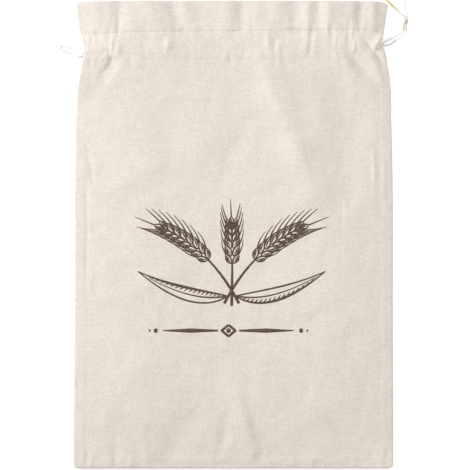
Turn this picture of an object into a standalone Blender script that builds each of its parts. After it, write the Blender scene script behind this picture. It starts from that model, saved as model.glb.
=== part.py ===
"""A linen bread bag that lies on its back, its mouth drawn in a little by a knotted string.

Metres. +X runs across the bag, +Y towards its mouth and +Z up, away from the surface it lies on.
A depth is measured down the bag from its mouth, and a fraction across it from its left edge.
"""

import math
from typing import NamedTuple

import bpy
import numpy as np

COLLECTION = "linen_bread_bag"

# Cloth
CLOTH = 0.0010          # one layer
SEAM_EDGE = 0.0014      # one panel where its turned-in seam allowance lies, sides and bottom
SEAM_WIDTH = 0.0105     # how far the allowance reaches in from the seam
CLEARANCE = 0.0003      # between two pieces that touch

# Size of the bag as it lies
LENGTH = 0.4416
MOUTH_Y = 0.2209
CORNER_RADIUS = 0.0047  # the two bottom corners

# Hem: the cloth turned over to the inside at the mouth, sewn down along two lines
LAYER_GAP = 0.0005
CORD = 0.0022
CHANNEL_ROOM = CORD + 0.0008
HEM_PLY = 2 * CLOTH + LAYER_GAP
CHANNEL_PLY = 2 * CLOTH + CHANNEL_ROOM
CHANNEL_FLAT = 0.0017   # the channel is at its fullest this far either side of the cord
HEM_TURNING = 0.0030    # cloth past the lower sewing line
SEAM_RUN_OUT = 0.0100   # below the lower sewing line the sides are sewn together

# Puffed form of the front panel
SHOULDER = 0.070        # the cloth climbs this far in from each side
SHOULDER_POWER = 2.2
FOLD_MARGIN = 0.012     # folds die out this near the sides
CORD_MARGIN = (0.003, 0.011)  # folds are nil this near the cord, and whole past it
FOLD_STEPS = 12         # points along a fold's line
FOLD_LEAST = 0.35       # a fold's share of its height where it is weakest
FOLD_TAPER = 0.08       # share of a fold's length over which its ends stay even
MOUTH_DROP_REACH = 0.05  # the mouth's drop fades out this near the bottom edge

# Grid
FRONT_COLUMNS = 50
BACK_COLUMNS = 18
FRONT_BODY_ROWS = 14
BACK_BODY_ROWS = 9
HEADING_ROWS = 3
TURN_STEPS = 4
PAST_SEAM = 1.7         # the even columns and rows start this many seam widths in
MID_SEAM = 0.4          # a column inside the allowance, as a share of its width
SEAM_COLUMNS = 3        # columns that the allowance takes at each side
RIM_INSETS = (0.0, 0.0010, 0.0028, CORNER_RADIUS, SEAM_WIDTH)  # rows above the bottom edge

# The bag's two edges. Columns: depth, left edge, right edge.
OUTLINE = (
    (0.0000, -0.1486, 0.1465),
    (0.0220, -0.1459, 0.1434),
    (0.0330, -0.1435, 0.1417),
    (0.0394, -0.1419, 0.1403),
    (0.0464, -0.1409, 0.1430),
    (0.0580, -0.1429, 0.1457),
    (0.0740, -0.1465, 0.1484),
    (0.1120, -0.1492, 0.1497),
    (0.1680, -0.1501, 0.1509),
    (0.3000, -0.1504, 0.1511),
    (0.4140, -0.1516, 0.1514),
    (0.4500, -0.1516, 0.1514),
)

# How far the mouth's edge drops. Columns: fraction across, drop.
MOUTH_DROP = (
    (0.00, 0.0017),
    (0.02, 0.0009),
    (0.06, 0.0004),
    (0.20, 0.0001),
    (0.45, 0.0000),
    (0.75, 0.0001),
    (0.95, 0.0003),
    (1.00, 0.0007),
)

# How far the mouth's right corner is rounded off besides. Columns: fraction across, drop.
MOUTH_CORNER = (
    (0.975, 0.0000),
    (0.984, 0.0004),
    (0.991, 0.0012),
    (1.000, 0.0026),
)
CORNER_REACH = 0.014    # the rounding fades out this far down

# The hem's lines. Columns: fraction across, upper sewing line, cord, lower sewing line.
HEM_LINES = (
    (0.00, 0.0302, 0.0484, 0.0568),
    (0.08, 0.0300, 0.0462, 0.0566),
    (0.18, 0.0296, 0.0438, 0.0562),
    (0.50, 0.0286, 0.0416, 0.0551),
    (0.85, 0.0274, 0.0400, 0.0539),
    (1.00, 0.0270, 0.0392, 0.0536),
)

# Height of the front panel along the middle of the bag. Columns: depth, height.
CREST = (
    (0.0000, 0.0132),
    (0.0150, 0.0137),
    (0.0280, 0.0143),
    (0.0410, 0.0148),
    (0.0560, 0.0143),
    (0.0750, 0.0131),
    (0.1100, 0.0118),
    (0.1600, 0.0112),
    (0.2400, 0.0110),
    (0.3300, 0.0102),
    (0.3900, 0.0084),
    (0.4200, 0.0060),
    (0.4350, 0.0042),
    (0.4416, 0.0031),
)


class Fold(NamedTuple):
    """A ridge, or a trough where its height is below nil, along a bowed line over the front panel."""

    start: tuple   # x and depth
    middle: tuple
    end: tuple
    left: float    # half width on the side of lower x
    right: float   # half width on the side of higher x
    height: float


BODY_FOLDS = (
    Fold((0.029, 0.052), (0.048, 0.108), (0.075, 0.190), 0.015, 0.016, 0.0034),
    Fold((0.088, 0.056), (0.114, 0.112), (0.104, 0.178), 0.028, 0.016, -0.0026),
    Fold((0.089, 0.044), (0.101, 0.055), (0.115, 0.067), 0.006, 0.005, 0.0020),
    Fold((0.107, 0.047), (0.118, 0.058), (0.131, 0.072), 0.005, 0.005, -0.0022),
    Fold((0.123, 0.047), (0.132, 0.058), (0.139, 0.072), 0.004, 0.004, 0.0014),
    Fold((-0.112, 0.050), (-0.113, 0.062), (-0.121, 0.073), 0.005, 0.004, -0.0020),
    Fold((0.021, 0.111), (0.004, 0.136), (-0.011, 0.173), 0.009, 0.008, -0.0011),
    Fold((0.004, 0.374), (0.012, 0.398), (0.021, 0.424), 0.009, 0.005, 0.0023),
    Fold((-0.022, 0.378), (-0.048, 0.408), (-0.066, 0.434), 0.013, 0.011, -0.0018),
    Fold((-0.008, 0.398), (-0.009, 0.412), (-0.013, 0.426), 0.006, 0.005, -0.0014),
    Fold((-0.138, 0.424), (-0.138, 0.432), (-0.139, 0.440), 0.004, 0.004, -0.0006),
    Fold((-0.112, 0.418), (-0.112, 0.429), (-0.113, 0.440), 0.006, 0.005, -0.0010),
)

# Ruffles of the heading, each a fold from the mouth's edge down. Columns: x at the mouth,
# x at the upper sewing line, half width, height.
RUFFLES = (
    (-0.1298, -0.1288, 0.006, 0.0008),
    (-0.1062, -0.1070, 0.006, -0.0024),
    (-0.0790, -0.0740, 0.009, 0.0012),
    (-0.0600, -0.0490, 0.006, -0.0022),
    (-0.0330, -0.0320, 0.008, -0.0012),
    (-0.0060, -0.0060, 0.008, 0.0014),
    (0.0080, 0.0080, 0.005, -0.0018),
    (0.0230, 0.0220, 0.006, 0.0008),
    (0.0410, 0.0410, 0.006, 0.0010),
    (0.0600, 0.0595, 0.007, -0.0019),
    (0.0705, 0.0700, 0.004, 0.0009),
    (0.0802, 0.0802, 0.005, -0.0013),
    (0.0900, 0.0892, 0.006, 0.0010),
    (0.1120, 0.1112, 0.005, 0.0008),
    (0.1208, 0.1186, 0.005, -0.0019),
    (0.1292, 0.1272, 0.004, 0.0010),
)
RUFFLE_DEPTHS = (-0.004, 0.011, 0.027)  # where each one starts, is bowed and ends

# Puckers of the channel, where only the outer layer lifts off the cord.
# Columns: x, half width, height.
PUCKERS = (
    (-0.1080, 0.004, 0.0010),
    (-0.0605, 0.004, 0.0009),
    (-0.0300, 0.006, 0.0004),
    (0.0000, 0.005, 0.0003),
    (0.0335, 0.003, 0.0009),
    (0.0690, 0.004, 0.0008),
    (0.1020, 0.005, 0.0009),
    (0.1190, 0.004, 0.0007),
)

# The drawstring from the knot, in at the right end of the front channel, round the loop at the
# left and back through the back channel. Columns: x, y, z.
DRAWSTRING = (
    (0.1609, 0.1930, 0.0026),
    (0.1596, 0.1923, 0.0019),
    (0.1576, 0.1910, 0.0012),
    (0.1545, 0.1889, 0.0012),
    (0.1503, 0.1861, 0.0024),
    (0.1460, 0.1838, 0.0051),
    (0.1425, 0.1817, 0.0072),
    (0.1390, 0.1806, 0.0080),
    (0.1300, 0.1805, 0.0090),
    (0.1100, 0.1807, 0.0110),
    (0.0900, 0.1806, 0.0120),
    (0.0700, 0.1805, 0.0123),
    (0.0300, 0.1799, 0.0124),
    (-0.0100, 0.1791, 0.0124),
    (-0.0500, 0.1781, 0.0124),
    (-0.0750, 0.1774, 0.0123),
    (-0.0900, 0.1769, 0.0120),
    (-0.1100, 0.1757, 0.0110),
    (-0.1300, 0.1730, 0.0090),
    (-0.1385, 0.1708, 0.0080),
    (-0.1432, 0.1718, 0.0072),
    (-0.1477, 0.1740, 0.0038),
    (-0.1517, 0.1758, 0.0013),
    (-0.1554, 0.1775, 0.0012),
    (-0.1579, 0.1787, 0.0012),
    (-0.1601, 0.1795, 0.0012),
    (-0.1621, 0.1795, 0.0012),
    (-0.1635, 0.1785, 0.0012),
    (-0.1640, 0.1767, 0.0012),
    (-0.1632, 0.1750, 0.0012),
    (-0.1616, 0.1741, 0.0012),
    (-0.1594, 0.1736, 0.0012),
    (-0.1565, 0.1727, 0.0012),
    (-0.1530, 0.1714, 0.0012),
    (-0.1488, 0.1701, 0.0012),
    (-0.1445, 0.1692, 0.0020),
    (-0.1400, 0.1702, 0.0025),
    (-0.1300, 0.1731, 0.0025),
    (-0.1100, 0.1757, 0.0025),
    (-0.0750, 0.1774, 0.0025),
    (-0.0100, 0.1791, 0.0025),
    (0.0700, 0.1805, 0.0025),
    (0.1100, 0.1807, 0.0025),
    (0.1300, 0.1805, 0.0025),
    (0.1395, 0.1800, 0.0025),
    (0.1437, 0.1793, 0.0020),
    (0.1476, 0.1801, 0.0012),
    (0.1518, 0.1825, 0.0012),
    (0.1556, 0.1853, 0.0012),
    (0.1591, 0.1881, 0.0012),
    (0.1619, 0.1905, 0.0018),
    (0.1637, 0.1926, 0.0026),
)
DRAWSTRING_POINTS = 80
BEND_SHARE = 0.7        # how much closer the cord's points lie where it bends
FINE_STEPS = 40         # steps between two of those points when the curve is measured

# The free ends past the knot, which lie on the surface. Columns: x, y, z.
TAIL_NEAR = (
    (0.1611, 0.2074, 0.0026),
    (0.1597, 0.2083, 0.0017),
    (0.1580, 0.2099, 0.0012),
    (0.1562, 0.2121, 0.0012),
    (0.1539, 0.2145, 0.0012),
    (0.1511, 0.2168, 0.0012),
    (0.1484, 0.2192, 0.0012),
    (0.1459, 0.2217, 0.0012),
    (0.1436, 0.2243, 0.0012),
    (0.1417, 0.2268, 0.0012),
    (0.1400, 0.2300, 0.0012),
)
TAIL_FAR = (
    (0.1640, 0.2070, 0.0026),
    (0.1638, 0.2090, 0.0016),
    (0.1631, 0.2115, 0.0012),
    (0.1626, 0.2152, 0.0012),
    (0.1625, 0.2195, 0.0012),
    (0.1632, 0.2240, 0.0012),
    (0.1637, 0.2290, 0.0012),
    (0.1635, 0.2340, 0.0012),
    (0.1629, 0.2376, 0.0012),
)
TAIL_POINTS = 14
CORD_ROUNDING = 2       # the round section's resolution

# The knot, drawn tight round both strands. Columns: distance along it, radius.
KNOT_PROFILE = (
    (0.0000, 0.0017),
    (0.0007, 0.0022),
    (0.0020, 0.0026),
    (0.0033, 0.0024),
    (0.0048, 0.0027),
    (0.0062, 0.0028),
    (0.0076, 0.0025),
    (0.0092, 0.0027),
    (0.0106, 0.0025),
    (0.0115, 0.0022),
    (0.0121, 0.0017),
)
KNOT_START = (0.1628, 0.1941)
KNOT_HEADING = math.radians(93)
KNOT_HEIGHT = 0.00315
KNOT_STEPS = 14
KNOT_MERGE = 0.00001

# Finishes: linear colours and roughness
LINEN_FRONT = (0.76, 0.70, 0.64)
LINEN_BACK = (0.70, 0.64, 0.58)
LINEN_ROUGHNESS = 0.92
CORD_WHITE = (0.90, 0.89, 0.84)
CORD_ROUGHNESS = 0.85


def column(table, index):
    """One column of a table as an array."""
    return np.array([row[index] for row in table])


def smooth(table, at, index=1, overshoot=False):
    """Reads a column of a table at any value of its first column, on a smooth curve through its rows.

    The curve stays level at a row that is higher or lower than both its neighbours, unless it may
    overshoot, as a cord does where it turns.
    """
    known = column(table, 0)
    values = column(table, index)
    step = np.diff(known)
    slope = np.diff(values) / step
    inner = (slope[:-1] * step[1:] + slope[1:] * step[:-1]) / (step[:-1] + step[1:])
    if not overshoot:
        inner[slope[:-1] * slope[1:] <= 0] = 0.0
    tangent = np.concatenate([slope[:1], inner, slope[-1:]])
    at = np.clip(at, known[0], known[-1])
    low = np.clip(np.searchsorted(known, at) - 1, 0, len(step) - 1)
    t = (at - known[low]) / step[low]
    rise = tangent[low] * step[low] * t * (1 - t) ** 2
    fall = tangent[low + 1] * step[low] * t**2 * (1 - t)
    blend = t * t * (3 - 2 * t)
    return values[low] + (values[low + 1] - values[low]) * blend + rise - fall


def ease(value, low, high):
    """Nil below low and whole above high, with soft ends."""
    t = np.clip((value - low) / (high - low), 0, 1)
    return t * t * (3 - 2 * t)


def bowed(fold):
    """Points along a fold's line, as one arc through its middle."""
    start, middle, end = (np.array(p) for p in (fold.start, fold.middle, fold.end))
    pull = 2 * middle - (start + end) / 2
    t = np.linspace(0, 1, FOLD_STEPS)[:, None]
    return (1 - t) ** 2 * start + 2 * t * (1 - t) * pull + t**2 * end


def fold_height(fold, x, depth):
    """How far a fold lifts the cloth at places over the panel."""
    line = bowed(fold)
    away = np.stack([x, depth], -1)[..., None, :] - line
    distance = np.linalg.norm(away, axis=-1)
    nearest = distance.argmin(-1)
    across = np.take_along_axis(away[..., 0], nearest[..., None], -1)[..., 0]
    width = np.where(across < 0, fold.left, fold.right)
    along = nearest / (len(line) - 1)
    swell = np.sin(math.pi * np.clip(along, FOLD_TAPER, 1 - FOLD_TAPER))
    strength = FOLD_LEAST + (1 - FOLD_LEAST) * swell
    near = distance.min(-1)
    return fold.height * strength * np.exp(-((near / width) ** 2))


class Hem:
    """Where the hem's lines run, for columns at given fractions across the panel."""

    def __init__(self, across):
        self.upper = smooth(HEM_LINES, across, 1)
        self.cord = smooth(HEM_LINES, across, 2)
        self.lower = smooth(HEM_LINES, across, 3)

    def lines(self):
        """The depths where the hem changes thickness, a row of columns for each."""
        return np.stack([
            self.upper,
            self.cord - CHANNEL_FLAT,
            self.cord + CHANNEL_FLAT,
            self.lower,
            self.lower + HEM_TURNING,
            self.lower + SEAM_RUN_OUT,
        ])

    def thickness(self, depth):
        """One panel's thickness at its sides, all layers and the room for the cord."""
        ply = (HEM_PLY, CHANNEL_PLY, CHANNEL_PLY, HEM_PLY, HEM_PLY, SEAM_EDGE)
        return np.array([np.interp(d, line, ply) for d, line in zip(depth, self.lines().T)])


class Place(NamedTuple):
    """A row of points of a panel as it lies: positions, depths, and distance to the nearer side."""

    x: np.ndarray
    y: np.ndarray
    depth: np.ndarray
    inset: np.ndarray


def row_places(across, depth):
    """Where the points of one row lie on the surface."""
    corner = np.clip((depth - LENGTH + CORNER_RADIUS) / CORNER_RADIUS, 0, 1)
    rounding = CORNER_RADIUS * (1 - np.sqrt(1 - corner**2))
    left = smooth(OUTLINE, depth, 1) + rounding
    right = smooth(OUTLINE, depth, 2) - rounding
    x = left + (right - left) * across
    y = MOUTH_Y - smooth(MOUTH_DROP, across) * ease(LENGTH - depth, 0, MOUTH_DROP_REACH) - depth
    y = y - smooth(MOUTH_CORNER, across) * (1 - ease(depth, 0, CORNER_REACH))
    return Place(x, y, depth, np.minimum(x - left, right - x))


def front_height(hem, place, puckered):
    """The height of the front panel's upper skin."""
    edge = 2 * hem.thickness(place.depth) + CLEARANCE
    crest = smooth(CREST, place.depth)
    rise = 1 - (1 - np.clip(place.inset / SHOULDER, 0, 1)) ** SHOULDER_POWER
    height = edge + (crest - edge) * rise
    relief = sum(fold_height(fold, place.x, place.depth) for fold in BODY_FOLDS)
    start, middle, end = RUFFLE_DEPTHS
    for top, bottom, width, lift in RUFFLES:
        bow = ((top + bottom) / 2, middle)
        ruffle = Fold((top, start), bow, (bottom, end), width, width, lift)
        relief = relief + fold_height(ruffle, place.x, place.depth)
    relief = relief * ease(np.abs(place.depth - hem.cord), *CORD_MARGIN)
    if puckered:
        inside = ease(place.depth, hem.upper, hem.cord) * (1 - ease(place.depth, hem.cord, hem.lower))
        for at, width, lift in PUCKERS:
            relief = relief + lift * inside * np.exp(-(((place.x - at) / width) ** 2))
    return np.maximum(height + relief * ease(place.inset, 0, FOLD_MARGIN), edge)


def across_fractions(columns):
    """Fractions across the panel: even columns, with one more at each seam allowance's edge."""
    width = OUTLINE[-1][2] - OUTLINE[-1][1]
    seam = SEAM_WIDTH / width
    inner = np.linspace(PAST_SEAM * seam, 1 - PAST_SEAM * seam, columns - 3)
    side = np.array([0, MID_SEAM * seam, seam])
    return np.concatenate([side, inner, 1 - side[::-1]])


def body_depths(hem, rows):
    """Depths of the rows below the hem, from the bottom up."""
    top = hem.lower + SEAM_RUN_OUT
    depths = [np.full_like(top, LENGTH - inset) for inset in RIM_INSETS]
    low = LENGTH - PAST_SEAM * SEAM_WIDTH
    return depths + [low + (top - low) * step / (rows - 1) for step in range(rows - 1)]


def panel_points(columns, body_rows, lies_on_top):
    """The skin of one panel from its bottom edge up, over the mouth and down inside to the hem's end.

    Gives an array of points, rows by columns, and the weight of the seam allowance at each.
    """
    across = across_fractions(columns)
    hem = Hem(across)
    number = np.arange(len(across))
    seam = (np.minimum(number, number[::-1]) < SEAM_COLUMNS).astype(float)
    upper, full_top, full_low, lower, hem_end, run_out = hem.lines()
    points, weights = [], []

    def add(depth, layer, turn=0.0, weight=0.0):
        """One row. Layer 0 is the outer cloth, and 1 the cloth turned inside."""
        place = row_places(across, np.maximum(depth, HEM_PLY / 2))
        thickness = hem.thickness(place.depth)
        if lies_on_top:
            outer, inward = front_height(hem, place, puckered=layer == 0), -1
        else:
            outer, inward = np.zeros_like(place.x), 1
        z = outer + inward * thickness * (layer if turn == 0 else (1 - math.cos(turn)) / 2)
        y = place.y + (np.maximum(depth, HEM_PLY / 2) - depth)
        points.append(np.stack([place.x, y, z], -1))
        weights.append(np.broadcast_to(weight, place.x.shape))

    for number, depth in enumerate(body_depths(hem, body_rows)):
        add(depth, 0, weight=1.0 if number < len(RIM_INSETS) else seam)
    add(run_out, 0, weight=seam)
    for depth in (hem_end, lower, (lower + full_low) / 2, full_low, full_top, (upper + full_top) / 2, upper):
        add(depth, 0)
    for row in range(1, HEADING_ROWS):
        add(upper * (1 - row / HEADING_ROWS), 0)
    for step in range(TURN_STEPS + 1):
        turn = math.pi * step / TURN_STEPS
        add(HEM_PLY / 2 * (1 - math.sin(turn)) + np.zeros_like(across), 0 if step == 0 else 1, turn)
    add(upper / 2, 1)
    for depth in (upper, full_top, full_low, lower, hem_end):
        add(depth, 1)
    return np.array(points), np.array(weights)


def add_material(name, colour, roughness):
    """A plain Principled material."""
    material = bpy.data.materials.new(name)
    material.use_nodes = True
    shader = material.node_tree.nodes["Principled BSDF"]
    shader.inputs["Base Color"].default_value = (*colour, 1)
    shader.inputs["Roughness"].default_value = roughness
    shader.inputs["Metallic"].default_value = 0.0
    return material


def make_panel(collection, name, columns, body_rows, lies_on_top, material):
    """One panel: a sheet laid along its folds, with its thickness from Solidify."""
    points, weights = panel_points(columns, body_rows, lies_on_top)
    rows, across = points.shape[:2]
    corner = np.arange(rows * across).reshape(rows, across)
    loop = (corner[:-1, :-1], corner[:-1, 1:], corner[1:, 1:], corner[1:, :-1])
    faces = np.stack(loop if lies_on_top else loop[::-1], -1).reshape(-1, 4)
    mesh = bpy.data.meshes.new(name)
    mesh.from_pydata(points.reshape(-1, 3).tolist(), [], faces.tolist())
    mesh.shade_smooth()
    mesh.materials.append(material)
    panel = bpy.data.objects.new(name, mesh)
    collection.objects.link(panel)
    allowance = panel.vertex_groups.new(name="seam_allowance")
    for number in np.flatnonzero(weights.ravel() > 0):
        allowance.add([int(number)], 1.0, "REPLACE")
    ply = panel.modifiers.new("cloth", "SOLIDIFY")
    ply.thickness = SEAM_EDGE
    ply.offset = -1
    ply.use_even_offset = True
    ply.vertex_group = allowance.name
    ply.thickness_vertex_group = CLOTH / SEAM_EDGE
    return panel


def along_route(route, count):
    """Points on a smooth curve through a route's own points, closer together where it bends."""
    route = np.array(route)
    spans = np.linalg.norm(np.diff(route, axis=0), axis=1)
    station = np.concatenate([[0], np.cumsum(spans)])
    table = [(s, *p) for s, p in zip(station, route)]
    fine = np.linspace(0, station[-1], FINE_STEPS * count)
    curve = np.stack([smooth(table, fine, axis, overshoot=True) for axis in (1, 2, 3)], -1)
    run = np.concatenate([[0], np.cumsum(np.linalg.norm(np.diff(curve, axis=0), axis=1))])
    turning = np.zeros(len(fine))
    heading = np.diff(curve, axis=0)
    heading /= np.linalg.norm(heading, axis=1)[:, None]
    turning[1:-1] = np.linalg.norm(np.diff(heading, axis=0), axis=1)
    effort = run / run[-1] + BEND_SHARE * np.cumsum(turning) / turning.sum()
    even = np.linspace(0, effort[-1], count)
    return np.stack([np.interp(even, effort, curve[:, axis]) for axis in range(3)], -1)


def make_cord(collection, name, route, count, material):
    """A length of cord as a round tube with closed ends."""
    curve = bpy.data.curves.new(name, "CURVE")
    curve.dimensions = "3D"
    curve.bevel_depth = CORD / 2
    curve.bevel_resolution = CORD_ROUNDING
    curve.use_fill_caps = True
    spline = curve.splines.new("POLY")
    points = along_route(route, count)
    spline.points.add(len(points) - 1)
    for point, place in zip(spline.points, points):
        point.co = (*place, 1)
    curve.materials.append(material)
    cord = bpy.data.objects.new(name, curve)
    collection.objects.link(cord)
    return cord


def make_knot(collection, name, material):
    """The knot as a turned, ribbed lump that lies along the two strands it ties."""
    mesh = bpy.data.meshes.new(name)
    profile = [(radius, 0, along) for along, radius in reversed(KNOT_PROFILE)]
    profile = [(0, 0, KNOT_PROFILE[-1][0]), *profile, (0, 0, KNOT_PROFILE[0][0])]
    mesh.from_pydata(profile, [(n, n + 1) for n in range(len(profile) - 1)], [])
    mesh.materials.append(material)
    knot = bpy.data.objects.new(name, mesh)
    collection.objects.link(knot)
    turned = knot.modifiers.new("turned", "SCREW")
    turned.axis = "Z"
    turned.steps = KNOT_STEPS
    turned.render_steps = KNOT_STEPS
    turned.use_merge_vertices = True
    turned.merge_threshold = KNOT_MERGE
    knot.location = (*KNOT_START, KNOT_HEIGHT)
    knot.rotation_euler = (0, math.radians(90), KNOT_HEADING)
    return knot


def main():
    """Builds the bag's pieces, each its own object."""
    for old in list(bpy.data.objects):
        bpy.data.objects.remove(old, do_unlink=True)
    collection = bpy.data.collections.new(COLLECTION)
    bpy.context.scene.collection.children.link(collection)
    front = add_material("linen_front", LINEN_FRONT, LINEN_ROUGHNESS)
    back = add_material("linen_back", LINEN_BACK, LINEN_ROUGHNESS)
    white = add_material("cotton_cord", CORD_WHITE, CORD_ROUGHNESS)
    make_panel(collection, "front_panel", FRONT_COLUMNS, FRONT_BODY_ROWS, True, front)
    make_panel(collection, "back_panel", BACK_COLUMNS, BACK_BODY_ROWS, False, back)
    make_cord(collection, "drawstring", DRAWSTRING, DRAWSTRING_POINTS, white)
    make_knot(collection, "knot", white)
    make_cord(collection, "tail_near", TAIL_NEAR, TAIL_POINTS, white)
    make_cord(collection, "tail_far", TAIL_FAR, TAIL_POINTS, white)


main()
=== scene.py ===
"""Looks of a linen bread bag that lies on its back, its mouth drawn in a little by a string.

Metres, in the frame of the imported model: +X runs across the bag, +Y towards its mouth and +Z up.
A depth is measured down the bag from its mouth, and a fraction across it from its left edge.
"""

import logging
import math
from dataclasses import dataclass, field
from enum import Enum

import bpy
import numpy as np
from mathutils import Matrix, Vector
from mathutils.bvhtree import BVHTree


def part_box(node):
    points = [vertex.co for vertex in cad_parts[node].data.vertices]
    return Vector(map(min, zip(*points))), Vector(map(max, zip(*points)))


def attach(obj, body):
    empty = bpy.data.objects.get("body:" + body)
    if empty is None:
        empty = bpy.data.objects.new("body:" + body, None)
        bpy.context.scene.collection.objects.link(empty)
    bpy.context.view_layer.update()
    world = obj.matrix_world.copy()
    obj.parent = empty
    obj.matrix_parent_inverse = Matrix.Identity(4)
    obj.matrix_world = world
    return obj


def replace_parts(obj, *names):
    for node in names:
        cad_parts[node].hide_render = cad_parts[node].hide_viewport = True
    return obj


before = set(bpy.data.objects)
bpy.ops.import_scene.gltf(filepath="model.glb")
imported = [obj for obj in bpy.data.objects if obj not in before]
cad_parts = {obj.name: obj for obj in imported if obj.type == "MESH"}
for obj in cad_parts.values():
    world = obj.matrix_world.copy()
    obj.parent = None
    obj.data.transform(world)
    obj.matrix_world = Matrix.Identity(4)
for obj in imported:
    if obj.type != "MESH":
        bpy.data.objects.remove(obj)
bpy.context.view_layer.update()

Array = np.ndarray
Point = tuple[float, float, float]
Place = tuple[float, float]
Colour = tuple[float, float, float]

log = logging.getLogger("bread_bag")
BODY = "root"
UPWARDS = (0, 0, 1)

# The photograph's frame
FRAME_WIDTH = 0.44415          # what it spans across the bag
FRAME_CENTRE = (0.0017, 0.0001)

# Cloth and hem, as the solids have them, but for the sheet's own thickness
CLOTH = 0.0008                 # the sheet, which is thinner than the solid
HEM_PLY = 0.0025               # one panel's layers in the heading
CHANNEL_PLY = 0.0050           # one panel's layers with the cord between them
SEAM_EDGE = 0.0014             # one panel's edge, with its allowance turned in
SEAM_WIDTH = 0.0105            # how far in the allowance reaches
CLEARANCE = 0.0003             # between the two panels
LENGTH = 0.4416
MOUTH_Y = 0.2209
CORNER_RADIUS = 0.0047         # of the two bottom corners
CHANNEL_FLAT = 0.0017          # the channel is at its thickest this far from the cord's line
HEM_TURNING = 0.0030           # the hem's end, past the lower sewing line
SEAM_RUN_OUT = 0.0100          # past that line, where only the allowance is left
SLACK_RUN_OUT = 0.040          # past that line, where the front has stopped draping over the hem
SHOULDER = 0.070               # how far in from its sides the bag has its full height
SHOULDER_POWER = 2.2           # how full its sides are at the hem
FOLD_END = 0.35                # a fold's ends start from this share of its height
FOLD_TIP = 0.08                # and it keeps that height over this share of its length
FOLD_MARGIN = 0.012            # folds start this far in from the sides
NOTCH_MARGIN = 0.0006          # and the creases at the channel's ends this far
CORD_MARGIN = (0.003, 0.011)   # folds fade in between these distances from the cord's line
CORD = 0.0022                  # the drawstring's width

# A panel's thickness along each of the hem's lines, and how much the front drapes over there
PLIES = (HEM_PLY, CHANNEL_PLY, CHANNEL_PLY, HEM_PLY, HEM_PLY, SEAM_EDGE, SEAM_EDGE)
SLACK_PLIES = (HEM_PLY, CHANNEL_PLY, CHANNEL_PLY, 0.0048, 0.0046, 0.0040, SEAM_EDGE)

# Where the sheets have their points: round a turned edge, as shares of its reach, then in the
# band beside it, at the sides (first, last and how many) and at the bottom
TURNED_POINTS = (0, 0.04, 0.14, 0.32, 0.58, 0.85, 1.0)
TURNED_REACH = 1.08            # in radii of the turned edge
EDGE_BAND = 0.0136
SIDE_POINTS = (0.0022, 0.0118, 9)
BOTTOM_POINTS = (0.0022, 0.0034, 0.0047, 0.0064, 0.0080, 0.0093, 0.0104, 0.0116)

# Between the bands, more columns stand where there are more creases: the first of these shares
# of them stands before the first of these fractions across, and so on
COLUMN_SHARES = (0.19, 0.62)
COLUMN_PLACES = (0.18, 0.70)

# The bag's two edges. Columns: depth, left edge, right edge.
OUTLINE = (
    (0.0000, -0.1486, 0.1465),
    (0.0220, -0.1459, 0.1434),
    (0.0330, -0.1435, 0.1417),
    (0.0394, -0.1419, 0.1403),
    (0.0464, -0.1409, 0.1430),
    (0.0580, -0.1429, 0.1457),
    (0.0740, -0.1465, 0.1484),
    (0.1120, -0.1492, 0.1497),
    (0.1680, -0.1501, 0.1509),
    (0.3000, -0.1504, 0.1511),
    (0.4140, -0.1516, 0.1514),
    (0.4500, -0.1516, 0.1514),
)

# How far the mouth's edge drops. Columns: fraction across, drop.
MOUTH_DROP = (
    (0.00, 0.0017),
    (0.02, 0.0009),
    (0.06, 0.0004),
    (0.20, 0.0001),
    (0.45, 0.0000),
    (0.75, 0.0001),
    (0.95, 0.0003),
    (1.00, 0.0007),
)

# How far the mouth's right corner is rounded off besides. Columns: fraction across, drop.
MOUTH_CORNER = (
    (0.975, 0.0000),
    (0.984, 0.0004),
    (0.991, 0.0012),
    (1.000, 0.0026),
)
CORNER_REACH = 0.014    # the rounding fades out this far down
BOTTOM_REACH = 0.05     # the mouth's drop fades out over this last bit before the bottom

# The hem's lines. Columns: fraction across, upper sewing line, cord, lower sewing line.
HEM_LINES = (
    (0.00, 0.0302, 0.0484, 0.0568),
    (0.08, 0.0300, 0.0462, 0.0566),
    (0.18, 0.0296, 0.0438, 0.0562),
    (0.50, 0.0286, 0.0416, 0.0551),
    (0.85, 0.0274, 0.0400, 0.0539),
    (1.00, 0.0270, 0.0392, 0.0536),
)

# Height of the front panel along the middle of the bag. Columns: depth, height.
CREST = (
    (0.0000, 0.0132),
    (0.0150, 0.0137),
    (0.0280, 0.0143),
    (0.0410, 0.0148),
    (0.0560, 0.0143),
    (0.0750, 0.0131),
    (0.1100, 0.0118),
    (0.1600, 0.0112),
    (0.2400, 0.0110),
    (0.3300, 0.0102),
    (0.3900, 0.0084),
    (0.4200, 0.0060),
    (0.4350, 0.0042),
    (0.4416, 0.0031),
)

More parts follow.
